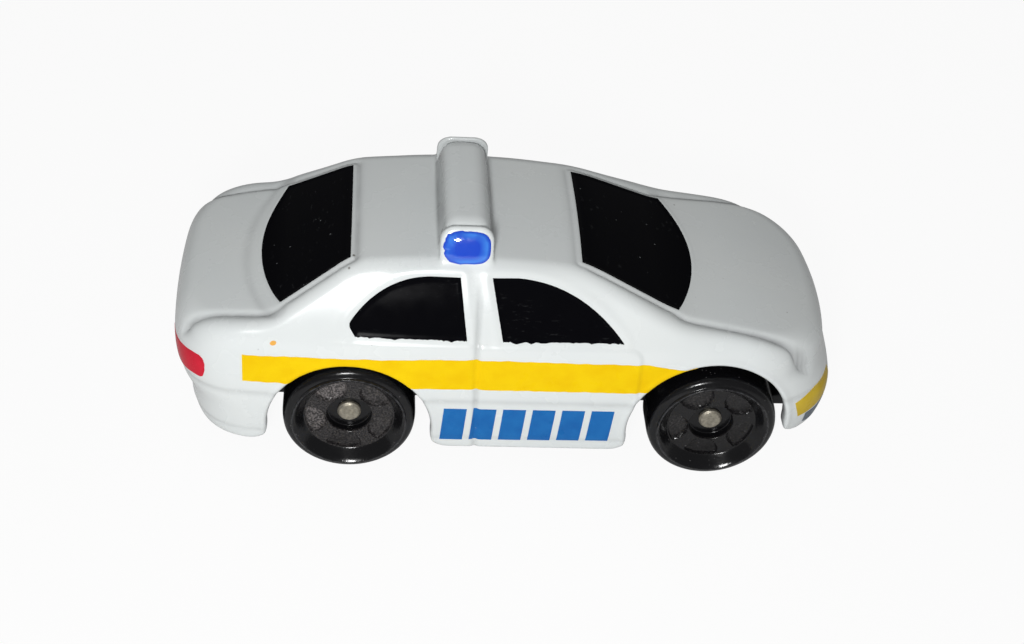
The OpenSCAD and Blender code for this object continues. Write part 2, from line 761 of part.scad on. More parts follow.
module wheel(x, s) {
    color([0.12, 0.12, 0.13]) translate([x, s * track_half, axle_z]) rotate([s > 0 ? 90 : -90, 0, 0])
        difference() {
            rotate_extrude() wheel_profile();
            translate([0, 0, dish_deep - over]) linear_extrude(pocket_deep + over) intersection() {
                for (k = [0:spokes - 1])
                    rotate(s * pocket_turn + 360 * k / spokes) translate([pocket_place, 0]) circle(pocket_r);
                circle(dish_r - lip);
            }
        }
}

body_shell();
base_plate();
windscreen();
rear_window();
front_side_window();  // front_side_window_right
mirror([0, 1, 0]) front_side_window();  // front_side_window_left
rear_side_window();  // rear_side_window_right
mirror([0, 1, 0]) rear_side_window();  // rear_side_window_left
beacon_lens(-1);  // beacon_lens_right
beacon_lens(1);  // beacon_lens_left
axle(rear_axle_x);  // rear_axle
axle(front_axle_x);  // front_axle
wheel(rear_axle_x, -1);  // wheel_rear_right
wheel(rear_axle_x, 1);  // wheel_rear_left
wheel(front_axle_x, -1);  // wheel_front_right
wheel(front_axle_x, 1);  // wheel_front_left
screw(screw_places[0]);  // screw_front
screw(screw_places[1]);  // screw_rear
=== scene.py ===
import math

import bmesh
import bpy
import numpy as np
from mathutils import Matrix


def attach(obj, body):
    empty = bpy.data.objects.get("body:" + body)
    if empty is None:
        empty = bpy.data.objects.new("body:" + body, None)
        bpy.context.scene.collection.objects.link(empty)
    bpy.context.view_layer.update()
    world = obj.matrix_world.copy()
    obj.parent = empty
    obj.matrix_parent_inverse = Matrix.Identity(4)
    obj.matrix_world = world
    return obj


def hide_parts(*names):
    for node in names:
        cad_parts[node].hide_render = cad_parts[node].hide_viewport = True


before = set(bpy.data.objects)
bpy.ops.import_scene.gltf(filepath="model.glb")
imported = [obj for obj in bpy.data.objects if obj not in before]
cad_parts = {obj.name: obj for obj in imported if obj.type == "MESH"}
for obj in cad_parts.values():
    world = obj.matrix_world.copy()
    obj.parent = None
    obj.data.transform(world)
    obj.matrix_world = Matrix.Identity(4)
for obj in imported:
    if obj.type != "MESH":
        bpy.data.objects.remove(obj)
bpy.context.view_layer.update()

import openvdb
from mathutils import Matrix

# Shapes are worked out in millimetres in the part's frame; meshes are in metres
MM = 0.001

# The car's main sizes
HALF_LEN = 37.95
REAR_X, FRONT_X, AXLE_Z = -18.15, 22.85, 7.4
TRACK_HALF = 15.1
WALL = 1.4
ARCH_R = 9.1
REAR_ARCH = (REAR_X, AXLE_Z - 1.0)
FRONT_ARCH = (FRONT_X - 0.7, AXLE_Z)
SIDES = ((-1, "right"), (1, "left"))


# Blends and gentle curves
def smax(a, b, k):
    h = np.maximum(k - np.abs(a - b), 0) / k
    return np.maximum(a, b) + h * h * k / 4


def smin(a, b, k):
    return -smax(-a, -b, k)


def ramp(t, a, b):
    u = np.clip((t - a) / (b - a), 0, 1)
    return u * u * (3 - 2 * u)


def fall(d, r):
    return d * d / (2 * r)


def past(d):
    return np.maximum(d, 0)


def bell(d, w):
    return np.exp(-(d / w) ** 2)


def tand(a):
    return math.tan(math.radians(a))


# Top of the body along the car: places are (x, z), slopes in degrees, arcs are radii
MIDDLE_X = -5.85
ROOF_Z, ROOF_ARC = 26.9, 94
SCREEN_AT, SCREEN_SLOPE = (6.85, 26.1), 25
REAR_AT, REAR_SLOPE = (-18.55, 25.85), 33.4
BONNET_AT, BONNET_SLOPE, BONNET_BEND_X, BONNET_ARC = (20.25, 20.7), 7, 23.75, 49
BOOT_AT, BOOT_SLOPE, BOOT_BEND_X, BOOT_ARC = (-27.25, 20.25), 6, -29.25, 48
TOP_BLEND = 0.8


def top_line(x):
    roof = ROOF_Z - fall(x - MIDDLE_X, ROOF_ARC)
    screen = SCREEN_AT[1] - (x - SCREEN_AT[0]) * tand(SCREEN_SLOPE)
    rear = REAR_AT[1] + (x - REAR_AT[0]) * tand(REAR_SLOPE)
    bonnet = BONNET_AT[1] - (x - BONNET_AT[0]) * tand(BONNET_SLOPE)
    bonnet = bonnet - fall(past(x - BONNET_BEND_X), BONNET_ARC)
    boot = BOOT_AT[1] + (x - BOOT_AT[0]) * tand(BOOT_SLOPE)
    boot = boot - fall(past(BOOT_BEND_X - x), BOOT_ARC)
    front = smin(roof, smax(screen, bonnet, TOP_BLEND), TOP_BLEND)
    return smin(front, smax(rear, boot, TOP_BLEND), TOP_BLEND)


# Half widths: the sill below the waist, the flank above it, the leaning cabin and the taper to both ends
WAIST_Z = 10.9
SILL_W, SILL_LEAN = 15.3, 5.7
FLANK_W, FLANK_ARC = 15.15, 50
CABIN_W, CABIN_Z, CABIN_LEAN = 14.3, 18.9, 31
BOW, BOW_LEN = 0.65, 11
END_BOW, END_BOW_SPAN = 0.4, (15, 25)
WAIST_BLEND, CABIN_BLEND = 0.4, 1.5
FRONT_TAPER_X, FRONT_TAPER_ARC = 11.75, 210
REAR_TAPER_X, REAR_TAPER_ARC = -14.25, 200


def half_width(x, z):
    low = SILL_W + tand(SILL_LEAN) * (z - WAIST_Z)
    high = FLANK_W - fall(past(z - WAIST_Z), FLANK_ARC)
    bow = BOW * bell(x - MIDDLE_X, BOW_LEN) + END_BOW * ramp(np.abs(x - MIDDLE_X), *END_BOW_SPAN)
    cabin = CABIN_W + bow - tand(CABIN_LEAN) * (z - CABIN_Z)
    w = smin(smin(low, high, WAIST_BLEND), cabin, CABIN_BLEND)
    return w - fall(past(x - FRONT_TAPER_X), FRONT_TAPER_ARC) - fall(past(REAR_TAPER_X - x), REAR_TAPER_ARC)


# Both ends: the height of the foremost point, arcs above and below it and across, and a fold at the bumper
NOSE_Z, NOSE_ARC_UP, NOSE_ARC_DOWN, NOSE_ARC_ACROSS = 9, 14.5, 10, 43
NOSE_FOLD, NOSE_FOLD_Z, NOSE_FOLD_W = 0.8, 13.5, 2.5
TAIL_Z, TAIL_ARC_UP, TAIL_ARC_DOWN, TAIL_ARC_ACROSS = 13.8, 10, 22.5, 95
TAIL_FOLD, TAIL_FOLD_Z, TAIL_FOLD_W = 0.7, 8.1, 2.2


def nose_reach(y, z):
    fold = NOSE_FOLD * bell(z - NOSE_FOLD_Z, NOSE_FOLD_W)
    round_up = fall(past(z - NOSE_Z), NOSE_ARC_UP)
    round_down = fall(past(NOSE_Z - z), NOSE_ARC_DOWN)
    return HALF_LEN - fold - round_up - round_down - fall(y, NOSE_ARC_ACROSS)


def tail_reach(y, z):
    fold = TAIL_FOLD * bell(z - TAIL_FOLD_Z, TAIL_FOLD_W)
    round_up = fall(past(z - TAIL_Z), TAIL_ARC_UP)
    round_down = fall(past(TAIL_Z - z), TAIL_ARC_DOWN)
    return -HALF_LEN + fold + round_up + round_down + fall(y, TAIL_ARC_ACROSS)


# The plain body; the shares bring heights and widths near to distances from sloping faces
TOP_ARC_ACROSS = 300
TOP_SHARE, SIDE_SHARE, NOSE_SHARE = 0.9, 0.85, 0.85
CORNER_BLEND, EDGE_BLEND = 6.0, 1.1


def plain_depth(x, y, z):
    top = (z - top_line(x) + fall(y, TOP_ARC_ACROSS)) * TOP_SHARE
    side = (np.abs(y) - half_width(x, z)) * SIDE_SHARE
    nose = (x - nose_reach(y, z)) * NOSE_SHARE
    tail = tail_reach(y, z) - x
    return smax(smax(smax(side, nose, CORNER_BLEND), tail, CORNER_BLEND), top, EDGE_BLEND)


# Windows: u runs across from -1 to 1 and v from one edge to the other, to a place in plan or in side view
def screen(top_x, top_bow, low_x, low_bow, half, spread):
    def place(u, v):
        x0 = top_x + top_bow * u * u
        x1 = low_x + low_bow * u * u
        return x0 + v * (x1 - x0), u * (half + spread * v)

    return place


screen_place = screen(top_x=6.75, top_bow=-0.12, low_x=20.3, low_bow=-2.63, half=8.42, spread=1.9)
rear_place = screen(top_x=-18.4, top_bow=-0.02, low_x=-28.4, low_bow=2.52, half=8.48, spread=2.14)

FRONT_SIDE_Z, FRONT_SIDE_H = 19.15, 6.2
FRONT_POST_X, FRONT_POST_LEAN = -1.78, 0.23
FRONT_SIDE_ARC, FRONT_SIDE_R = (-1.655, 8.538), 16.858
REAR_SIDE_Z, REAR_SIDE_H = 19.2, 6.13
REAR_POST_X, REAR_POST_LEAN = -5.69, 0.153
REAR_SIDE_ARC, REAR_SIDE_R = (-9.444, 14.647), 10.688
REAR_CUT, REAR_CUT_LEAN, REAR_CUT_BLEND = (-18.45, 20.27), 0.68, 0.5


def front_side_place(u, v):
    z = FRONT_SIDE_Z + v * FRONT_SIDE_H
    left = FRONT_POST_X - (z - FRONT_SIDE_Z) * FRONT_POST_LEAN
    right = FRONT_SIDE_ARC[0] + np.sqrt(past(FRONT_SIDE_R**2 - (z - FRONT_SIDE_ARC[1]) ** 2))
    return left + (u + 1) / 2 * (right - left), z


def rear_side_place(u, v):
    z = REAR_SIDE_Z + v * REAR_SIDE_H
    right = REAR_POST_X - (z - REAR_SIDE_Z) * REAR_POST_LEAN
    arc = REAR_SIDE_ARC[0] - np.sqrt(past(REAR_SIDE_R**2 - (z - REAR_SIDE_ARC[1]) ** 2))
    left = smax(arc, REAR_CUT[0] + (REAR_CUT[1] - z) * REAR_CUT_LEAN, REAR_CUT_BLEND)
    return right + (u + 1) / 2 * (left - right), z


def outline(place, n=40):
    """The closed outline of a window, as points in its own view."""
    t = np.linspace(-1, 1, n, endpoint=False)
    v = (t + 1) / 2
    sides = [(t, 0 * t), (0 * t + 1, v), (-t, 0 * t + 1), (0 * t - 1, 1 - v)]
    return np.concatenate([np.stack(place(u, w), -1) for u, w in sides])


def outline_distance(a, b, loop):
    """Signed distance of the points (a, b) to a closed outline, negative inside."""
    a, b = np.broadcast_arrays(a, b)
    best = np.full(a.shape, np.inf)
    inside = np.zeros(a.shape, bool)
    for (pa, pb), (qa, qb) in zip(loop, np.roll(loop, -1, 0)):
        ea, eb = qa - pa, qb - pb
        length = ea * ea + eb * eb
        if np.isclose(length, 0, atol=1e-12):
            continue
        t = np.clip(((a - pa) * ea + (b - pb) * eb) / length, 0, 1)
        best = np.minimum(best, (a - pa - t * ea) ** 2 + (b - pb - t * eb) ** 2)
        if pb != qb:
            inside ^= ((pb > b) != (qb > b)) & (a < pa + (b - pb) * ea / eb)
    return np.where(inside, -1, 1) * np.sqrt(best)


# The crease beside the raised middle band of the bonnet and the boot: its line, depth and ends
BAND_X = [-38, -36.2, -34.4, -32.7, -30.6, -28.5, -26.7, 17, 18.7, 20.8, 24.8, 28.4, 31, 34]
BAND_Y = [10.4, 10.5, 10.8, 10.9, 11.2, 11.45, 11.5, 11.1, 11.5, 11.7, 12.1, 12.4, 12.4, 11.6]
CREASE_X = [-38, -35, -27, -25, 16.5, 18, 30, 33]
CREASE_DEEP = [0.35, 0.46, 0.46, 0, 0, 0.46, 0.46, 0.46]
TAIL_CREASE_Z, NOSE_CREASE_Z = (15.4, 17), (12.9, 15)
CREASE_W_IN, CREASE_W_OUT = 0.22, 0.55


def crease(x, y, z):
    d = np.abs(y) - np.interp(x, BAND_X, BAND_Y)
    above = np.where(x < 0, ramp(z, *TAIL_CREASE_Z), ramp(z, *NOSE_CREASE_Z))
    deep = np.interp(x, CREASE_X, CREASE_DEEP) * above
    return deep * np.exp(-np.abs(d) / np.where(d < 0, CREASE_W_IN, CREASE_W_OUT))


# The seam between the doors, the folds along the sill and the raised door panel
SEAM_Z, SEAM_X = [3.9, 17.5], [-3.96, -4.52]
SEAM_DEEP, SEAM_W, SEAM_FOOT, SEAM_HEAD, SEAM_Y = 0.2, 0.28, (3, 4), (-25, -22), (9.5, 11.5)
WAIST_FOLD, WAIST_FOLD_W = 0.5, 0.45
SILL_FOLD, SILL_FOLD_Z, SILL_FOLD_W = 0.3, 5.2, 0.35
FOLD_DEEP = 0.22
DOOR_FRONT_X, DOOR_TOP_Z, DOOR_ROUND = 13.6, 18.5, 1.4
DOOR_EDGE, DOOR_REAR_X = 0.25, (-24, -14)


def seams(x, y, z):
    line = bell(x - np.interp(z, SEAM_Z, SEAM_X), SEAM_W)
    middle = line * ramp(z, *SEAM_FOOT) * ramp(-z, *SEAM_HEAD)
    fold = WAIST_FOLD * bell(z - WAIST_Z, WAIST_FOLD_W) + SILL_FOLD * bell(z - SILL_FOLD_Z, SILL_FOLD_W)
    return SEAM_DEEP * ramp(np.abs(y), *SEAM_Y) * middle + FOLD_DEEP * fold


def rounded_corner(qa, qb, r):
    return np.hypot(past(qa), past(qb)) + np.minimum(np.maximum(qa, qb), 0) - r


def door(x, z):
    """Raised door panel: 1 on the panel, 0 off it, with a rounded upper front corner."""
    d = rounded_corner(x - DOOR_FRONT_X + DOOR_ROUND, z - DOOR_TOP_Z + DOOR_ROUND, DOOR_ROUND)
    return ramp(-d, -DOOR_EDGE, DOOR_EDGE) * ramp(x, *DOOR_REAR_X)


# The light bar: leaning flanks, and collars with slanted ends that the lenses cover
BAR_X, BAR_TOP, BAR_FOOT = -6.05, 30.2, 24.5
BAR_END = np.array([9.45, 28.22])
BAR_SLANT = np.array([0.9227, 0.3857])
FLANK_HALF, FLANK_OUT, FLANK_UP = 2.98, 0.968, 0.25
SHOULDER_BLEND, BAR_END_INSET, BAR_END_BLEND = 1.4, 0.15, 2.0
COLLAR_Z, COLLAR_HALF_X, COLLAR_HALF_Z, COLLAR_ROUND = 27.2, 2.9, 3.0, 1.7
COLLAR_END_BLEND, COLLAR_RIM_BLEND, COLLAR_JOIN = 0.5, 0.2, 0.1
RIM_Y, RIM_DEEP, RIM_W, RIM_FOOT, RIM_X = 8.0, 0.2, 0.15, (26.8, 27.2), (-3.6, -3.3)
SHADE_IN, SHADE_OUT, SHADE_FOOT, SHADE_Y = (2.1, 2.6), (-3.5, -3.1), (26.8, 27.1), (-8.1, -7.4)


def bar_rim(x, y, z):
    """The groove behind each collar of the light bar."""
    ring = RIM_DEEP * bell(np.abs(y) - RIM_Y, RIM_W)
    return ring * ramp(z, *RIM_FOOT) * ramp(-np.abs(x - BAR_X), *RIM_X)


def bar_shade(x, y, z):
    """Painted shade on the flanks of the light bar."""
    across = np.abs(x - BAR_X)
    flank = ramp(across, *SHADE_IN) * ramp(-across, *SHADE_OUT)
    return flank * ramp(z, *SHADE_FOOT) * ramp(-np.abs(y), *SHADE_Y)


def light_bar(x, y, z):
    """A bar with leaning flanks, and a rounded collar at each end."""
    across = np.abs(x - BAR_X)
    end = BAR_SLANT[0] * (np.abs(y) - BAR_END[0]) + BAR_SLANT[1] * (z - BAR_END[1])
    flank = (across - FLANK_HALF) * FLANK_OUT + (z - ROOF_Z) * FLANK_UP
    section = np.maximum(smax(flank, z - BAR_TOP, SHOULDER_BLEND), BAR_FOOT - z)
    beyond_x = across - COLLAR_HALF_X + COLLAR_ROUND
    beyond_z = np.abs(z - COLLAR_Z) - COLLAR_HALF_Z + COLLAR_ROUND
    collar = smax(rounded_corner(beyond_x, beyond_z, COLLAR_ROUND), end, COLLAR_END_BLEND)
    collar = smax(collar, RIM_Y - np.abs(y), COLLAR_RIM_BLEND)
    bar = smax(section, end + BAR_END_INSET, BAR_END_BLEND)
    return smin(bar, collar, COLLAR_JOIN) + bar_rim(x, y, z)


def arch_depth(x, z):
    rear = ARCH_R - np.hypot(x - REAR_ARCH[0], z - REAR_ARCH[1])
    front = ARCH_R - np.hypot(x - FRONT_ARCH[0], z - FRONT_ARCH[1])
    return np.maximum(rear, front)


# The field of the whole casting on a grid, worked out for one half and mirrored
STEP = 0.2
GX = np.arange(-39, 39.1, STEP)
GY = np.arange(0, 82) * STEP
GZ = np.arange(2.4, 31.2, STEP)
ORIGIN = np.array([GX[0], -GY[-1], GZ[0]])

# Relief of the casting: heights, then places and widths
UPPER_Z = (16.5, 18.5)
DOOR_RAISED, DOOR_Y = 0.16, (11, 13)
RECESS, RECESS_EDGE = 0.1, (-0.02, 0.5)
LIP, LIP_AT, LIP_W = 0.04, 0.25, 0.2
LIP_CREASE_AT, LIP_CREASE_W = 0.65, 0.28
LIP_STEP_AT, LIP_STEP_W = 1.6, 0.5
FRONT_CREASE, FRONT_CREASE_MORE, FRONT_CREASE_X, FRONT_LOW_X = 0.12, 0.22, (6.5, 8.5), (16, 18.5)
REAR_CREASE, REAR_STEP, REAR_LOW_X = 0.32, 0.1, (24.5, 26.5)
SIDE_LIP, SIDE_LIP_AT, SIDE_LIP_W = 0.07, 0.6, 0.45
BAR_BLEND = 0.35
ARCH_LIP, ARCH_LIP_AT, ARCH_LIP_W, ARCH_LIP_Y = 0.1, 0.5, 0.35, (12, 13.5)
HEM_Z, HEM_RISE, HEM_X = 3.6, 1.7, (21.75, 31.75)
HEM_BLEND, HEM_EDGE, WALL_BLEND = 2.5, 0.5, 0.3
# How strongly painted shade darkens the grooves, the groove behind each collar and the bar's flanks
SHADE_FULL_DEPTH, RIM_SHADE, FLANK_SHADE = 0.5, 5, 0.95


def mirrored(half):
    half = half.astype(np.float32)
    return np.concatenate([half[:, :0:-1], half], 1)


def casting():
    x, y, z = GX[:, None, None], GY[None, :, None], GZ[None, None, :]
    plain = plain_depth(x, y, z)
    upper = ramp(z, *UPPER_Z)
    groove = crease(x, y, z) + seams(x, y, z)
    f = plain - DOOR_RAISED * door(x, z) * ramp(y, *DOOR_Y)
    # Screens: a shallow recess with a thin lip, and outside it a crease, or a soft step at the lower edge
    front_deep = FRONT_CREASE + FRONT_CREASE_MORE * ramp(x, *FRONT_CREASE_X)
    screens = (
        (screen_place, ramp(x, *FRONT_LOW_X), front_deep, 0),
        (rear_place, ramp(-x, *REAR_LOW_X), REAR_CREASE, REAR_STEP),
    )
    for place, low, deep, step in screens:
        d = outline_distance(GX[:, None], GY[None, :], outline(place))[:, :, None]
        f = f + RECESS * ramp(-d, *RECESS_EDGE) - LIP * upper * bell(d - LIP_AT, LIP_W)
        groove = groove + upper * (1 - low) * deep * np.exp(-np.abs(d - LIP_CREASE_AT) / LIP_CREASE_W)
        groove = groove + upper * low * step * bell(d - LIP_STEP_AT, LIP_STEP_W)
    for place in (front_side_place, rear_side_place):
        d = outline_distance(GX[:, None], GZ[None, :], outline(place))[:, None, :]
        f = f + RECESS * ramp(-d, *RECESS_EDGE) - SIDE_LIP * bell(d - SIDE_LIP_AT, SIDE_LIP_W)
    f = smin(f + groove, light_bar(x, y, z), BAR_BLEND)
    arch = arch_depth(x, z)
    f = f - ARCH_LIP * bell(arch + ARCH_LIP_AT, ARCH_LIP_W) * ramp(y, *ARCH_LIP_Y)
    hem = HEM_Z + HEM_RISE * ramp(x, *HEM_X)
    f = smax(f, smax(hem - z, arch, HEM_BLEND), HEM_EDGE)
    f = smax(f, -(plain + WALL), WALL_BLEND)
    # Painted shade: darker in the creases, seams and folds, in the creases round the screens, in the groove
    # behind each collar and on the bar's flanks
    painted_shade = groove / SHADE_FULL_DEPTH + RIM_SHADE * bar_rim(x, y, z) + FLANK_SHADE * bar_shade(x, y, z)
    return mirrored(f), mirrored(np.clip(painted_shade, 0, 1))


FIELD, PAINTED_SHADE = casting()


def sample(p, grid=FIELD, origin=ORIGIN):
    """The field at points, by interpolation."""
    q = (p - origin) / STEP
    top = np.array(grid.shape) - 2
    i = np.clip(np.floor(q).astype(int), 0, top)
    w = np.clip(q - i, 0, 1)
    total = 0
    for dx in (0, 1):
        for dy in (0, 1):
            for dz in (0, 1):
                share = np.abs(1 - dx - w[..., 0]) * np.abs(1 - dy - w[..., 1]) * np.abs(1 - dz - w[..., 2])
                total = total + share * grid[i[..., 0] + dx, i[..., 1] + dy, i[..., 2] + dz]
    return total


def gradient(p, grid, origin, h=0.15):
    slopes = []
    for e in h * np.eye(3):
        slopes.append((sample(p + e, grid, origin) - sample(p - e, grid, origin)) / (2 * h))
    return np.stack(slopes, -1)


def cast(origin, direction, level, far=24, step=0.08, batch=4000):
    """Where rays from outside first meet the surface of that level."""
    t = np.arange(0, far, step)
    shape = origin.shape[:-1]
    o, d = origin.reshape(-1, 3), direction.reshape(-1, 3)
    level = np.broadcast_to(level, shape).reshape(-1)
    hits = np.empty_like(o)
    for a in range(0, len(o), batch):
        b = slice(a, a + batch)
        f = sample(o[b, None] + t[:, None] * d[b, None]) - level[b, None]
        k = np.maximum(np.argmax(f < 0, 1), 1)
        rows = np.arange(len(k))
        before, after = f[rows, k - 1], f[rows, k]
        s = t[k - 1] + step * before / (before - after)
        hits[b] = o[b] + s[:, None] * d[b]
    return hits.reshape(*shape, 3)


# Mesh helpers
SHARP_ANGLE = 38


def mesh_object(name, points, faces, normals=None):
    mesh = bpy.data.meshes.new(name)
    mesh.from_pydata((np.asarray(points) * MM).tolist(), [], faces)
    mesh.update()
    mesh.polygons.foreach_set("use_smooth", [True] * len(mesh.polygons))
    if normals is None:
        mesh.set_sharp_from_angle(angle=math.radians(SHARP_ANGLE))
    else:
        mesh.normals_split_custom_set_from_vertices(normals.tolist())
    obj = bpy.data.objects.new(name, mesh)
    bpy.context.scene.collection.objects.link(obj)
    return obj


def attribute(obj, name, values):
    data = obj.data.attributes.new(name, "FLOAT", "POINT")
    data.data.foreach_set("value", np.asarray(values, np.float32))


def outward(obj):
    """Turns all faces of a closed mesh outward."""
    bm = bmesh.new()
    bm.from_mesh(obj.data)
    bmesh.ops.recalc_face_normals(bm, faces=bm.faces)
    bm.to_mesh(obj.data)
    bm.free()


def grid_faces(n, m, start=0):
    faces = []
    for i in range(n - 1):
        for j in range(m - 1):
            a, b = start + i * m + j, start + (i + 1) * m + j
            faces.append((a, b, b + 1, a + 1))
    return faces


def plate(name, top, under):
    """A closed thin solid between two grids of points."""
    n, m = top.shape[:2]
    points = np.concatenate([top.reshape(-1, 3), under.reshape(-1, 3)])
    faces = grid_faces(n, m) + [f[::-1] for f in grid_faces(n, m, n * m)]
    rim = [i * m for i in range(n)] + [(n - 1) * m + j for j in range(1, m)]
    rim += [i * m + m - 1 for i in range(n - 2, -1, -1)] + [j for j in range(m - 2, 0, -1)]
    faces += [(a, a + n * m, b + n * m, b) for a, b in zip(rim, rim[1:] + rim[:1])]
    obj = mesh_object(name, points, faces)
    outward(obj)
    return obj


def uv_grid(n, m):
    """A grid with u from -1 to 1 and v from 0 to 1, finer towards the edges."""
    u = np.sin(np.pi / 2 * np.linspace(-1, 1, n))
    v = (1 - np.cos(np.pi * np.linspace(0, 1, m))) / 2
    return np.meshgrid(u, v, indexing="ij")


def even_grid(a, b, n, m):
    """An even grid from a to b one way and from 0 to 1 the other way."""
    return np.meshgrid(np.linspace(a, b, n), np.linspace(0, 1, m), indexing="ij")


# Plates start from well outside the body: beside it, above it or round its ends
BESIDE, ABOVE, AROUND = 20, 31.1, 16


def cast_plate(name, origin, direction, out, deep):
    top = cast(origin, direction, out)
    return plate(name, top, top + direction * deep)


def side_plate(name, x, z, s, out=0.03, deep=0.25):
    """A plate on the flank on side s, following the surface at (x, z)."""
    origin = np.stack([x, 0 * x + BESIDE * s, z], -1)
    direction = np.broadcast_to(np.array([0.0, -s, 0.0]), origin.shape)
    return cast_plate(name, origin, direction, out, deep)


def top_plate(name, x, y, out=0.03, deep=0.25):
    origin = np.stack([x, y, 0 * x + ABOVE], -1)
    direction = np.broadcast_to(np.array([0.0, 0.0, -1.0]), origin.shape)
    return cast_plate(name, origin, direction, out, deep)


def round_plate(name, centre_x, angle, z, out=0.03, deep=0.25):
    """A plate round an end of the car: the angle is from forward, to the left, about an upright axis."""
    away = np.stack([np.cos(angle), np.sin(angle), 0 * angle], -1)
    origin = np.stack([0 * z + centre_x, 0 * z, z], -1) + AROUND * away
    return cast_plate(name, origin, -away, out, deep)


RNG = np.random.default_rng(7)


def ragged(n, size, grain=3):
    """A seeded wavering line of n values, of about that size."""
    raw = RNG.normal(size=n + 4 * grain)
    kernel = np.hanning(2 * grain + 1)
    line = np.convolve(raw, kernel / np.sqrt((kernel**2).sum()), "same")
    return size * line[2 * grain : 2 * grain + n]


LEAST_SLOPE, LONGEST_SHIFT, LEAST_NORMAL = 0.05, 0.1, 1e-6


def field_object(name, field, origin):
    """The surface of a field as a closed mesh, and its points."""
    grid = openvdb.FloatGrid()
    grid.copyFromArray(np.ascontiguousarray(field))
    points, tris, quads = grid.convertToPolygons(0.0, 0.0)
    p = points.astype(float) * STEP + origin
    for _ in range(2):
        g = gradient(p, field, origin)
        gap = sample(p, field, origin) / np.maximum((g * g).sum(-1), LEAST_SLOPE)
        p = p - np.clip(gap, -LONGEST_SHIFT, LONGEST_SHIFT)[:, None] * g
    g = gradient(p, field, origin)
    normals = g / np.maximum(np.linalg.norm(g, axis=1), LEAST_NORMAL)[:, None]
    faces = quads.tolist() + tris.tolist()
    a, b, c = (p[[f[k] for f in faces]] for k in range(3))
    turned = (np.cross(b - a, c - a) * normals[[f[0] for f in faces]]).sum() < 0
    faces = [f[::-1] for f in faces] if turned else faces
    return mesh_object(name, p, faces, normals), p


# Body
INSIDE_SHADE_DEPTH = (0.7, 1.1)
body, p = field_object("cast_body", FIELD, ORIGIN)
# Painted shade from the casting's grooves and the light bar's flanks
attribute(body, "painted_shade", sample(p, PAINTED_SHADE))
# Painted shade: the inside of the hollow casting is painted near black, as if unlit
attribute(body, "inside", ramp(-plain_depth(*p.T), *INSIDE_SHADE_DEPTH))
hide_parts("body_shell")
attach(body, "body")

# Base: a plate inside the sill with a narrow waist between the wheels, bearings and screw holes
BASE_Z, BASE_T, BASE_INSET = 3.6, 1.6, 1.7
BASE_ROWS, BASE_GRID_Z = 78, (2.8, 11)
BEARING_OUT, BEARING_W, BEARING_R, AXLE_ROOM = 9.25, 3.0, 2.66, 1.36
WAIST_HALF, CUTOUT_HALF = 6.4, 9.9
CUTOUT_BLEND, BASE_EDGE, BEARING_BLEND = 0.6, 0.4, 0.3
SCREW_INSET, SCREW_ROOM, HEAD_ROOM, HEAD_H = 3.2, 1.1, 1.95, 1.0


def base_field():
    x, y = GX[:, None, None], GY[None, :BASE_ROWS, None]
    z = np.arange(*BASE_GRID_Z, STEP)[None, None, :]
    flat = plain_depth(x, y, BASE_Z) + BASE_INSET
    ends = GX[flat[:, 0, 0] < 0][[0, -1]]
    room = np.maximum(CUTOUT_HALF - np.abs(x - REAR_X), x - FRONT_X + CUTOUT_HALF)
    flat = smax(flat, np.minimum(room, y - WAIST_HALF), CUTOUT_BLEND)
    f = smax(smax(flat, BASE_Z - z, BASE_EDGE), z - BASE_Z - BASE_T, BASE_EDGE)
    along = np.abs(y - BEARING_OUT + BEARING_W / 2) - BEARING_W / 2
    for axle_x in (REAR_X, FRONT_X):
        ring = np.hypot(x - axle_x, z - AXLE_Z)
        foot = np.maximum(np.abs(x - axle_x) - BEARING_R, z - AXLE_Z)
        block = smax(np.minimum(ring - BEARING_R, foot), along, BEARING_BLEND)
        f = smin(f, np.maximum(block, BASE_Z - z), BEARING_BLEND)
        f = np.maximum(f, AXLE_ROOM - ring)
    for screw_x in (ends[0] + SCREW_INSET, ends[1] - SCREW_INSET):
        ring = np.hypot(x - screw_x, y)
        f = np.maximum(f, SCREW_ROOM - ring)
        f = np.maximum(f, np.minimum(HEAD_ROOM - ring, BASE_Z + HEAD_H - z))
    return mirrored(f), np.array([GX[0], -y.max(), z.min()])


base, _ = field_object("moulded_base", *base_field())
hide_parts("base_plate")
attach(base, "body")

# Windows
PANE_OUT, PANE_DEEP = 0.04, 0.35
SCREEN_GRID, SIDE_GRID = (90, 60), (70, 34)
PANE_RAGGED, PANE_GRAIN, PANE_EDGE = 0.09, 2, 6
panes = []


def pane(node, obj):
    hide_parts(node)
    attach(obj, "body")
    panes.append(obj)


u, v = uv_grid(*SCREEN_GRID)
pane("windscreen", top_plate("screen_pane", *screen_place(u, v), PANE_OUT, PANE_DEEP))
pane("rear_window", top_plate("rear_pane", *rear_place(u, v), PANE_OUT, PANE_DEEP))
u, v = uv_grid(*SIDE_GRID)
for s, side in SIDES:
    for place, node in ((front_side_place, "front_side_window"), (rear_side_place, "rear_side_window")):
        x, z = place(u, v)
        z = z - (1 - v) ** PANE_EDGE * np.abs(ragged(SIDE_GRID[0], PANE_RAGGED, PANE_GRAIN))[:, None]
        pane(f"{node}_{side}", side_plate(f"{node}_pane_{side}", x, z, s, PANE_OUT, PANE_DEEP))

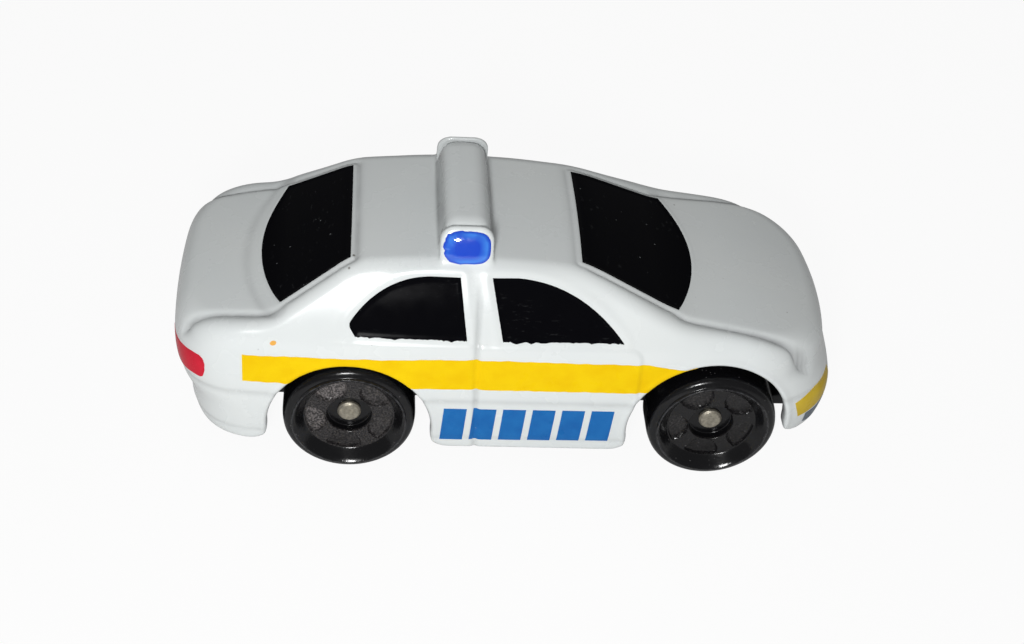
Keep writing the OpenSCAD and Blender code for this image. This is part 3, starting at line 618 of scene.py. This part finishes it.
# Paint marks: lines are lists of places along the car or angles round its end, and of heights there
STRIPE_X, STRIPE_GRID, STRIPE_GRAIN = (-29.8, 19.9), (260, 16), 4
STRIPE_LOW, STRIPE_LOW_RAGGED = ([-30, -5], [12.84, 13.02]), 0.03
STRIPE_HIGH_X = [-30, -20, -5, 10, 13.5, 18.4, 20]
STRIPE_HIGH_Z = [16.36, 16.55, 17.0, 16.82, 16.82, 16.15, 15.9]
STRIPE_HIGH_RAGGED, STRIPE_LEAST, STRIPE_OVER_ARCH = 0.025, 0.02, 0.1
BLOCKS, BLOCK_X, BLOCK_PITCH, BLOCK_W, BLOCK_GRID = 6, -7.85, 3.3, 2.55, (14, 24)
BLOCK_Z, BLOCK_H, BLOCK_RISE, BLOCK_SHRINK, BLOCK_SLANT = 5.0, 5.05, 0.05, 0.03, 0.25
LAMP_X, LAMP_ANGLES, LAMP_GRID = -27, (32, 62.9), (60, 20)
LAMP_LOW_ANGLE = [32, 43, 49.4, 57.1, 60.5, 62, 62.9]
LAMP_LOW_Z = [11.5, 11.65, 11.85, 12.15, 12.15, 12.4, 13.3]
LAMP_HIGH_ANGLE = [32, 43.8, 50.6, 56.3, 60.1, 62.1, 62.9]
LAMP_HIGH_Z = [14.2, 14.62, 14.9, 15.12, 15.12, 14.82, 14.2]
FLECK_X, FLECK_Z, FLECK_HALF_X, FLECK_HALF_Z, FLECK_LEAN = -26.46, 18.0, 0.34, 0.27, 0.06
FLECK_GRID, FLECK_OUT, FLECK_DEEP = 13, 0.02, 0.1
FRONT_MARK_X = 25.6
STRIP_ANGLES, STRIP_GRID, STRIP_TURN = (33, 64), (60, 18), 0.05
STRIP_LOW = ([33, 50, 64], [8.5, 8.4, 8.05])
STRIP_HIGH = ([33, 38, 46, 52, 58, 64], [11.0, 11.25, 11.3, 11.3, 10.8, 10.35])
# Painted shade under the front bumper: a dark patch below the strip
PATCH_ANGLES, PATCH_GRID, PATCH_TOP = (38, 56), (40, 12), 7.95
PATCH_LOW = ([38, 50, 56], [6.1, 6.1, 6.5])
prints = {"yellow": [], "blue": [], "red": [], "amber": [], "under_bumper_shade": [], "orange": []}


def mark(colour, obj):
    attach(obj, "body")
    prints[colour].append(obj)


def arch_top(x):
    """Height of the wheel arches' edges over the road, at x."""
    tops = []
    for centre_x, centre_z in (REAR_ARCH, FRONT_ARCH):
        top = centre_z + np.sqrt(past(ARCH_R**2 - (x - centre_x) ** 2))
        tops.append(np.where(np.abs(x - centre_x) < ARCH_R, top, 0))
    return np.maximum(*tops)


def stripe(s, side):
    """The stripe along the flank, cut by the arches."""
    n, m = STRIPE_GRID
    x = np.linspace(*STRIPE_X, n)
    low = np.interp(x, *STRIPE_LOW) + ragged(n, STRIPE_LOW_RAGGED, STRIPE_GRAIN)
    low = np.maximum(low, arch_top(x) + STRIPE_OVER_ARCH)
    high = np.interp(x, STRIPE_HIGH_X, STRIPE_HIGH_Z) + ragged(n, STRIPE_HIGH_RAGGED, STRIPE_GRAIN)
    t = np.linspace(0, 1, m)[None, :]
    z = low[:, None] + t * (np.maximum(high, low + STRIPE_LEAST) - low)[:, None]
    mark("yellow", side_plate(f"flank_stripe_{side}", np.broadcast_to(x[:, None], z.shape), z, s))


def sill_blocks(s, side):
    """A row of plain slanted blocks on the sill."""
    a, b = even_grid(0, BLOCK_W, *BLOCK_GRID)
    for k in range(BLOCKS):
        x = BLOCK_X + BLOCK_PITCH * k + a + BLOCK_SLANT * (b - 0.5)
        z = BLOCK_Z + BLOCK_RISE * k + (BLOCK_H - BLOCK_SHRINK * k) * b
        mark("blue", side_plate(f"sill_block_{side}_{k + 1}", x, z, s))


def tail_lamp(s, side):
    """The lamp round the rear corner."""
    angle, t = even_grid(*LAMP_ANGLES, *LAMP_GRID)
    low = np.interp(angle, LAMP_LOW_ANGLE, LAMP_LOW_Z)
    high = np.interp(angle, LAMP_HIGH_ANGLE, LAMP_HIGH_Z)
    turn = np.pi - s * np.radians(angle)
    mark("red", round_plate(f"tail_lamp_{side}", LAMP_X, turn, low + t * (high - low)))


def fleck(s):
    """A fleck of stray paint."""
    line = np.linspace(-1, 1, FLECK_GRID)
    u, w = np.meshgrid(line, line, indexing="ij")
    x = FLECK_X + FLECK_HALF_X * u * np.sqrt(1 - w * w / 2) + FLECK_LEAN * w
    z = FLECK_Z + FLECK_HALF_Z * w * np.sqrt(1 - u * u / 2)
    mark("orange", side_plate("paint_fleck", x, z, s, FLECK_OUT, FLECK_DEEP))


def front_marks(s, side):
    """A strip round the front corner, and below it a patch of painted shade under the bumper."""
    angle, t = even_grid(*STRIP_ANGLES, *STRIP_GRID)
    low = np.interp(angle, *STRIP_LOW)
    high = np.interp(angle, *STRIP_HIGH)
    turn = s * np.radians(angle * (1 - STRIP_TURN + STRIP_TURN * t))
    mark("amber", round_plate(f"front_strip_{side}", FRONT_MARK_X, turn, low + t * (high - low)))
    angle, t = even_grid(*PATCH_ANGLES, *PATCH_GRID)
    low = np.interp(angle, *PATCH_LOW)
    turn = s * np.radians(angle)
    mark("under_bumper_shade", round_plate(f"front_bumper_shade_{side}", FRONT_MARK_X, turn, low + t * (PATCH_TOP - low)))


for s, side in SIDES:
    stripe(s, side)
    sill_blocks(s, side)
    tail_lamp(s, side)
    if side == "right":
        fleck(s)
    front_marks(s, side)

# Beacon lenses: domes on the slanted ends of the light bar
LENS_STEPS, LENS_RINGS, LENS_FIRST_RING = 96, 22, 0.02
LENS_ACROSS, LENS_UP, LENS_DROP, LENS_POWER = 2.52, 1.84, 0.1, 3
LENS_RAGGED, LENS_GRAIN = 0.022, 2
LENS_STAND, LENS_RISE = 0.05, 0.4
LENS_BACK = [(1.0, -0.1), (0.99, -0.35)]


def loft(name, rings):
    """A closed solid through loops of points, capped at both ends."""
    n, m = len(rings), len(rings[0])
    faces = [list(range(m))[::-1], [(n - 1) * m + j for j in range(m)]]
    for i in range(n - 1):
        for j in range(m):
            k = (j + 1) % m
            faces.append((i * m + j, i * m + k, (i + 1) * m + k, (i + 1) * m + j))
    obj = mesh_object(name, np.concatenate(rings), faces)
    outward(obj)
    return obj


def make_lens(name, s):
    a = np.linspace(0, 2 * np.pi, LENS_STEPS, endpoint=False)
    shape = (np.abs(np.cos(a)) ** LENS_POWER + np.abs(np.sin(a)) ** LENS_POWER) ** (-1 / LENS_POWER)
    wobble = ragged(LENS_STEPS, LENS_RAGGED, LENS_GRAIN) * np.sin(a / 2) ** 2
    shares = np.sin(np.pi / 2 * np.linspace(LENS_FIRST_RING, 1, LENS_RINGS))
    dome = [(rho, LENS_STAND + LENS_RISE * (1 - rho**3)) for rho in shares] + LENS_BACK
    rings, rims = [], []
    for rho, rise in dome:
        reach = rho * shape * (1 + wobble * rho)
        across = LENS_ACROSS * reach * np.cos(a)
        up = LENS_UP * reach * np.sin(a) - LENS_DROP
        y = BAR_END[0] + BAR_SLANT[0] * rise - BAR_SLANT[1] * up
        z = BAR_END[1] + BAR_SLANT[1] * rise + BAR_SLANT[0] * up
        rings.append(np.stack([BAR_X + across, s * y, z], -1))
        rims.append(np.full(LENS_STEPS, rho))
    obj = loft(name, rings)
    attribute(obj, "rim", np.concatenate(rims))
    return obj


lenses = []
for s, side in SIDES:
    lens = make_lens(f"beacon_dome_{side}", s)
    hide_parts(f"beacon_lens_{side}")
    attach(lens, "body")
    lenses.append(lens)

# Wheels: a turned profile of (radius, depth from the face, fillet), with pockets pressed into the dish
HUB_KEYS = [(1.3, 5.5, 0), (1.3, 2.2, 0), (2.45, 2.2, 0.1), (2.55, 1.3, 0.12)]
DISH_KEYS = [(5.0, 1.3, 0.15), (5.95, 0.15, 0.25), (6.15, 0.0, 0.06), (6.32, 0.02, 0.06), (6.42, 0.25, 0.08)]
TYRE_KEYS = [(7.15, 0.5, 0.5), (7.4, 1.5, 0.6), (7.4, 5.5, 0.8)]
BACK_KEYS = [(5.9, 5.5, 0.3), (5.7, 3.5, 0.3), (2.7, 3.5, 0.3), (2.6, 5.5, 0.15)]
PROFILE_STEP, WHEEL_STEPS = 0.22, 224
POCKETS, POCKET_ANGLE, POCKET_AT, POCKET_R = 5, 47, 4.5, 1.92
POCKET_OUTER, POCKET_EDGE, POCKET_DEEP = 4.95, (-0.02, 0.14), 0.45
DISH_DEPTH, DISH_INNER, DISH_OUTER = 1.5, 2.4, 5.05
RIDGE_R, RIDGE_W, RIDGE_DEPTH = 6.25, 0.08, 0.3
# Dust and painted light on the dish and in each pocket: the rear wheels are lighter than the front, and the
# upper-left and left pockets lightest, where light falls
REAR_DUST_AND_LIGHT = (0.26, (0.4, 1.25, 0.95, 0.26, 0.36))
FRONT_DUST_AND_LIGHT = (0.06, (0.12, 0.2, 0.16, 0.08, 0.1))


def filleted(points, radii, n=6):
    path = []
    count = len(points)
    for k, (p, r) in enumerate(zip(points, radii)):
        p = np.array(p, float)
        if r == 0:
            path.append(p)
            continue
        a = np.array(points[k - 1]) - p
        b = np.array(points[(k + 1) % count]) - p
        a = p + a / np.linalg.norm(a) * r
        b = p + b / np.linalg.norm(b) * r
        for t in np.linspace(0, 1, n):
            path.append((1 - t) ** 2 * a + 2 * t * (1 - t) * p + t * t * b)
    return np.array(path)


def wheel_profile():
    keys = HUB_KEYS + DISH_KEYS + TYRE_KEYS + BACK_KEYS
    path = filleted([k[:2] for k in keys], [k[2] for k in keys])
    dense = []
    for p, q in zip(path, np.roll(path, -1, 0)):
        n = max(1, int(np.linalg.norm(q - p) / PROFILE_STEP))
        dense += [p + (q - p) * t / n for t in range(n)]
    return np.array(dense)


def pocket_masks(r, angle):
    masks = []
    for k in range(POCKETS):
        a = math.radians(POCKET_ANGLE + 360 / POCKETS * k)
        from_x = r * np.cos(angle) - POCKET_AT * math.cos(a)
        from_z = r * np.sin(angle) - POCKET_AT * math.sin(a)
        d = np.maximum(np.hypot(from_x, from_z) - POCKET_R, r - POCKET_OUTER)
        masks.append(ramp(-d, *POCKET_EDGE))
    return masks


def make_wheel(name, x, s, dish_dust_and_light, pocket_dust_and_light):
    profile = wheel_profile()
    n, m = WHEEL_STEPS, len(profile)
    angle = np.linspace(0, 2 * np.pi, n, endpoint=False)[:, None]
    r, depth = profile[None, :, 0], profile[None, :, 1]
    dish = (depth < DISH_DEPTH) & (r > DISH_INNER) & (r < DISH_OUTER)
    masks = pocket_masks(r, angle)
    pocket = sum(masks) * dish
    # The dust attribute is dust and painted light: the pockets are lighter where light would catch them
    dust = (dish_dust_and_light * (1 - sum(masks)) + sum(d * q for d, q in zip(pocket_dust_and_light, masks))) * dish
    r = r + 0 * angle
    # A thin lighter line along the ridge of the tyre's face: wear, and a painted highlight where light
    # catches the ridge
    ridge_wear_and_highlight = bell(r - RIDGE_R, RIDGE_W) * (depth < RIDGE_DEPTH)
    y = s * (TRACK_HALF - depth - POCKET_DEEP * pocket)
    points = np.stack([x + r * np.cos(angle), y, AXLE_Z + r * np.sin(angle)], -1)
    faces = []
    for i in range(n):
        k = (i + 1) % n
        for j in range(m):
            q = (j + 1) % m
            quad = (i * m + j, k * m + j, k * m + q, i * m + q)
            faces.append(quad if s > 0 else quad[::-1])
    obj = mesh_object(name, points.reshape(-1, 3), faces)
    outward(obj)
    for key, values in (("pocket", pocket), ("dust", dust), ("ridge_wear_and_highlight", ridge_wear_and_highlight)):
        attribute(obj, key, values.reshape(-1))
    return obj


wheels = []
for end, x, dust in (("rear", REAR_X, REAR_DUST_AND_LIGHT), ("front", FRONT_X, FRONT_DUST_AND_LIGHT)):
    for s, side in SIDES:
        wheel = make_wheel(f"{end}_wheel_{side}", x, s, *dust)
        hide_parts(f"wheel_{end}_{side}")
        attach(wheel, f"{end}_wheelset")
        wheels.append(wheel)


# Materials
def srgb(r, g, b):
    return [((c / 255 + 0.055) / 1.055) ** 2.4 if c > 10 else c / 3294.6 for c in (r, g, b)] + [1.0]


class Paint:
    """A material and the nodes that vary it."""

    SPECK_CORE, SPECK_GROUP, SPECK_EDGE = 0.6, 2.3, 0.02

    def __init__(self, name, **sockets):
        self.material = bpy.data.materials.new(name)
        self.material.use_nodes = True
        self.nodes = self.material.node_tree.nodes
        self.links = self.material.node_tree.links
        self.shader = self.nodes["Principled BSDF"]
        for key, value in sockets.items():
            self.shader.inputs[key.replace("_", " ")].default_value = value
        self.place = self.nodes.new("ShaderNodeTexCoord").outputs["Object"]

    def node(self, kind, inputs=(), **settings):
        n = self.nodes.new(kind)
        for key, value in settings.items():
            setattr(n, key, value)
        for key, value in dict(inputs).items():
            if isinstance(value, bpy.types.NodeSocket):
                self.links.new(value, n.inputs[key])
            else:
                n.inputs[key].default_value = value
        return n

    def noise(self, size, detail=3.0, stretch=None):
        """Noise whose features are about that size in millimetres."""
        place = self.place
        if stretch:
            place = self.node("ShaderNodeMapping", {"Vector": place, "Scale": stretch}).outputs[0]
        n = self.node("ShaderNodeTexNoise", {"Vector": place, "Scale": 1 / (size * MM), "Detail": detail})
        return n.outputs["Fac"]

    def span(self, value, start, stop, low=0, high=1):
        n = self.node("ShaderNodeMapRange", {"Value": value, 1: start, 2: stop, 3: low, 4: high})
        return n.outputs[0]

    def vary(self, size, detail=3.0, low=0, high=1, band=(0.3, 0.7), stretch=None):
        """Noise spread from low to high over a band of its values."""
        return self.span(self.noise(size, detail, stretch), *band, low, high)

    def times(self, a, b):
        return self.node("ShaderNodeMath", {0: a, 1: b}, operation="MULTIPLY").outputs[0]

    def plus(self, a, b):
        return self.node("ShaderNodeMath", {0: a, 1: b}, operation="ADD").outputs[0]

    def specks(self, size, radius, rare):
        """Small dots, thinned out by a coarser noise."""
        cell = self.node("ShaderNodeTexVoronoi", {"Vector": self.place, "Scale": 1 / (size * MM)})
        dot = self.span(cell.outputs["Distance"], radius * self.SPECK_CORE, radius, 1, 0)
        group = self.vary(size * self.SPECK_GROUP, band=(rare, rare + self.SPECK_EDGE))
        return self.times(dot, group)

    def mix(self, factor, a, b):
        n = self.node("ShaderNodeMix", {0: factor}, data_type="RGBA")
        for key, value in ((6, a), (7, b)):
            if isinstance(value, bpy.types.NodeSocket):
                self.links.new(value, n.inputs[key])
            else:
                n.inputs[key].default_value = value
        return n.outputs[2]

    def attribute(self, name):
        return self.node("ShaderNodeAttribute", attribute_name=name).outputs["Fac"]

    def set(self, socket, value):
        self.links.new(value, self.shader.inputs[socket])

    def bump(self, height, strength, distance):
        n = self.node("ShaderNodeBump", {"Height": height, "Strength": strength, "Distance": distance * MM})
        self.set("Normal", n.outputs[0])


def white_paint():
    p = Paint("thick_white_paint", Coat_Weight=0.35, Coat_Roughness=0.08, Specular_IOR_Level=0.45)
    tone = p.mix(p.vary(size=14, detail=2), srgb(228, 232, 231), srgb(224, 229, 229))
    # Painted shade, mottled: a darker grey in the grooves and on the light bar's flanks
    painted_shade = p.times(p.attribute("painted_shade"), p.vary(size=4, low=0.5, high=0.85))
    tone = p.mix(painted_shade, tone, srgb(112, 113, 115))
    tone = p.mix(p.specks(size=2.6, radius=0.09, rare=0.6), tone, srgb(120, 118, 112))
    # Painted shade: near black on the inside of the casting
    tone = p.mix(p.attribute("inside"), tone, srgb(24, 25, 26))
    p.set("Base Color", tone)
    p.set("Roughness", p.vary(size=5, detail=5, low=0.2, high=0.32))
    wave_share, grain_share = 0.6, 0.06
    waves = p.times(p.noise(size=3.5, detail=2), wave_share)
    grain = p.times(p.noise(size=0.5, detail=2), grain_share)
    p.bump(p.plus(waves, grain), strength=0.25, distance=0.12)
    return p.material


def print_paint(name, tone_a, tone_b, rough=0.3):
    speck_tone = [c * 0.55 for c in tone_a[:3]] + [1]
    p = Paint(name, Specular_IOR_Level=0.06)
    tone = p.mix(p.vary(size=2.2, detail=5, band=(0.35, 0.7)), tone_a, tone_b)
    tone = p.mix(p.specks(size=1.8, radius=0.1, rare=0.62), tone, speck_tone)
    p.set("Base Color", tone)
    p.set("Roughness", p.vary(size=1.5, detail=4, low=rough - 0.06, high=rough + 0.08))
    p.bump(p.noise(size=0.6), strength=0.12, distance=0.05)
    return p.material


def window_black():
    p = Paint("window_black_gloss", Specular_IOR_Level=0.015)
    dust = p.specks(size=1.1, radius=0.1, rare=0.58)
    lines = p.vary(size=0.9, detail=6, stretch=(1, 1, 4), band=(0.62, 0.75), high=0.12)
    scuff = p.times(lines, p.vary(size=5, band=(0.45, 0.6)))
    tone = p.mix(p.plus(dust, scuff), srgb(9, 9, 12), srgb(110, 112, 114))
    p.set("Base Color", tone)
    p.set("Roughness", p.vary(size=2.5, detail=4, low=0.12, high=0.24))
    p.bump(p.noise(size=1.5), strength=0.08, distance=0.05)
    return p.material


def wheel_plastic():
    p = Paint("wheel_black_plastic", Specular_IOR_Level=0.36)
    pocket = p.attribute("pocket")
    mottle = p.noise(size=0.2)
    # Dust and painted light: the dust attribute lightens the dish and the lit pockets
    dust = p.times(p.attribute("dust"), p.span(mottle, 0.44, 0.64, low=0.15))
    tone = p.mix(dust, srgb(12, 12, 14), srgb(118, 113, 112))
    # Wear and painted highlight along the tyre's ridge, mottled
    ridge_wear_and_highlight = p.times(p.attribute("ridge_wear_and_highlight"), p.vary(size=0.5, band=(0.4, 0.62), low=0.1, high=0.8))
    tone = p.mix(ridge_wear_and_highlight, tone, srgb(70, 70, 73))
    tone = p.mix(p.specks(size=0.45, radius=0.14, rare=0.55), tone, srgb(110, 108, 108))
    p.set("Base Color", tone)
    pocket_rough, grain_share = 0.12, 0.25
    rough = p.vary(size=1.6, detail=4, low=0.13, high=0.24)
    p.set("Roughness", p.plus(rough, p.times(pocket, pocket_rough)))
    grain = p.times(p.noise(size=0.35, detail=4), grain_share)
    p.bump(p.plus(grain, p.times(pocket, mottle)), strength=0.45, distance=0.12)
    return p.material


def moulded_plastic(name, tone_a, tone_b):
    p = Paint(name, Specular_IOR_Level=0.4)
    p.set("Base Color", p.mix(p.vary(size=3, detail=4, band=(0.35, 0.65)), tone_a, tone_b))
    p.set("Roughness", p.vary(size=1.2, detail=4, low=0.4, high=0.55))
    p.bump(p.noise(size=0.4), strength=0.2, distance=0.06)
    return p.material


def cut_steel(name, tone_a, tone_b):
    p = Paint(name, Metallic=0.75)
    grain = p.noise(size=0.35, detail=5)
    p.set("Base Color", p.mix(p.span(grain, 0.35, 0.65), tone_a, tone_b))
    p.set("Roughness", p.span(grain, 0.3, 0.7, low=0.38, high=0.6))
    p.bump(grain, strength=0.35, distance=0.08)
    return p.material


def lens_blue():
    p = Paint("beacon_blue_lens", Coat_Weight=0.5, Coat_Roughness=0.1)
    rim = p.attribute("rim")
    # Painted highlight: a lighter blue ring just inside the dome's edge, as if light shone through the dome
    glow = p.times(p.span(rim, 0.5, 0.82), p.span(rim, 0.84, 0.97, low=1, high=0))
    glow = p.times(glow, p.vary(size=1.8, detail=1, band=(0.4, 0.6), low=0.2, high=0.7))
    p.set("Base Color", p.mix(glow, srgb(26, 74, 205), srgb(72, 152, 250)))
    p.set("Roughness", p.vary(size=0.8, low=0.1, high=0.2))
    p.bump(p.noise(size=1.1, detail=2), strength=0.15, distance=0.08)
    return p.material


def dress(objs, material):
    for obj in objs:
        obj.data.materials.clear()
        obj.data.materials.append(material)


def dress_node(names, material):
    for name in names:
        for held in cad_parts[name].material_slots:
            held.material = material


axle_steel = cut_steel("axle_cut_steel", srgb(176, 170, 154), srgb(140, 135, 124))
screw_steel = cut_steel("screw_plain_steel", srgb(170, 170, 170), srgb(130, 130, 132))
dress([body], white_paint())
dress(panes, window_black())
dress(prints["yellow"], print_paint("stripe_yellow", srgb(246, 208, 12), srgb(240, 196, 6)))
dress(prints["blue"], print_paint("block_blue", srgb(36, 112, 182), srgb(30, 100, 172)))
dress(prints["red"], print_paint("lamp_red", srgb(216, 42, 62), srgb(204, 34, 54), rough=0.22))
dress(prints["amber"], print_paint("strip_amber", srgb(216, 186, 62), srgb(200, 168, 40)))
# Painted shade under the front bumper, in dark blue-grey
dress(prints["under_bumper_shade"], print_paint("bumper_shade_grey", srgb(112, 122, 132), srgb(92, 102, 114)))
dress(prints["orange"], print_paint("fleck_orange", srgb(240, 185, 95), srgb(236, 170, 80)))
dress(lenses, lens_blue())
dress(wheels, wheel_plastic())
dress([base], moulded_plastic("base_black_plastic", srgb(22, 22, 24), srgb(30, 30, 32)))
dress_node(["rear_axle", "front_axle"], axle_steel)
dress_node(["screw_front", "screw_rear"], screw_steel)

# Floor and surroundings: white to the eye, while the light on the car stays soft
FLOOR_HALF, FLOOR_GREY, FLOOR_ROUGH, FLOOR_WHITE = 3000, 0.85, 0.9, 0.93
AIR_LIGHT, AIR_SEEN = 0.22, 1.0
WHITE = (1, 1, 1, 1)


def make_floor():
    corners = [(a * FLOOR_HALF, b * FLOOR_HALF, 0) for a, b in ((-1, -1), (1, -1), (1, 1), (-1, 1))]
    obj = mesh_object("floor", corners, [(0, 1, 2, 3)])
    material = bpy.data.materials.new("pale_floor")
    material.use_nodes = True
    nodes, links = material.node_tree.nodes, material.node_tree.links
    shader = nodes["Principled BSDF"]
    shader.inputs["Base Color"].default_value = (FLOOR_GREY, FLOOR_GREY, FLOOR_GREY, 1)
    shader.inputs["Roughness"].default_value = FLOOR_ROUGH
    shader.inputs["Specular IOR Level"].default_value = 0.0
    glow = nodes.new("ShaderNodeEmission")
    glow.inputs["Color"].default_value = WHITE
    path = nodes.new("ShaderNodeLightPath")
    seen = nodes.new("ShaderNodeMath")
    seen.operation = "MULTIPLY"
    seen.inputs[1].default_value = FLOOR_WHITE
    links.new(path.outputs["Is Camera Ray"], seen.inputs[0])
    blend = nodes.new("ShaderNodeMixShader")
    links.new(seen.outputs[0], blend.inputs[0])
    links.new(shader.outputs[0], blend.inputs[1])
    links.new(glow.outputs[0], blend.inputs[2])
    links.new(blend.outputs[0], nodes["Material Output"].inputs["Surface"])
    obj.data.materials.append(material)


def make_air():
    world = bpy.data.worlds.new("studio")
    bpy.context.scene.world = world
    world.use_nodes = True
    nodes, links = world.node_tree.nodes, world.node_tree.links
    back = nodes["Background"]
    back.inputs["Color"].default_value = WHITE
    path = nodes.new("ShaderNodeLightPath")
    level = nodes.new("ShaderNodeMapRange")
    level.inputs["To Min"].default_value = AIR_LIGHT
    level.inputs["To Max"].default_value = AIR_SEEN
    links.new(path.outputs["Is Camera Ray"], level.inputs["Value"])
    links.new(level.outputs[0], back.inputs["Strength"])


make_floor()
make_air()

# Lamps and camera
CAMERA = np.array([-17.90, -157.3, 142.81])
RIGHT = np.array([0.99561, -0.05113, 0.07836])
UP = np.array([-0.02676, 0.64686, 0.76214])
BACK = np.array([-0.08965, -0.76089, 0.64265])
FOCAL_PIXELS, WIDTH_PIXELS, SENSOR_WIDTH, CLIP_START = 1757.2, 1024, 36, 0.01
LAMP_TARGET = (0, 0, 12)


def put(obj, right, up, back, place):
    m = np.eye(4)
    m[:3] = np.stack([right, up, back, np.array(place) * MM], -1)
    obj.matrix_world = Matrix(m.tolist())


def lamp(name, place, size, power):
    data = bpy.data.lights.new(name, "AREA")
    data.shape = "DISK"
    data.size = size * MM
    data.energy = power
    obj = bpy.data.objects.new(name, data)
    bpy.context.scene.collection.objects.link(obj)
    back = np.array(place, float) - np.array(LAMP_TARGET, float)
    back /= np.linalg.norm(back)
    right = np.cross([0, 0, 1.0], back)
    right /= np.linalg.norm(right)
    put(obj, right, np.cross(back, right), back, place)


lamp("key", place=(-34, -178, 120), size=34, power=0.285)
lamp("overhead", place=(-30, 60, 420), size=260, power=0.08)

data = bpy.data.cameras.new("photo")
data.sensor_width = SENSOR_WIDTH
data.lens = FOCAL_PIXELS / WIDTH_PIXELS * SENSOR_WIDTH
data.clip_start = CLIP_START
camera = bpy.data.objects.new("photo", data)
bpy.context.scene.collection.objects.link(camera)
put(camera, RIGHT, UP, BACK, CAMERA)
bpy.context.scene.camera = camera
bpy.context.scene.view_settings.view_transform = "Standard"
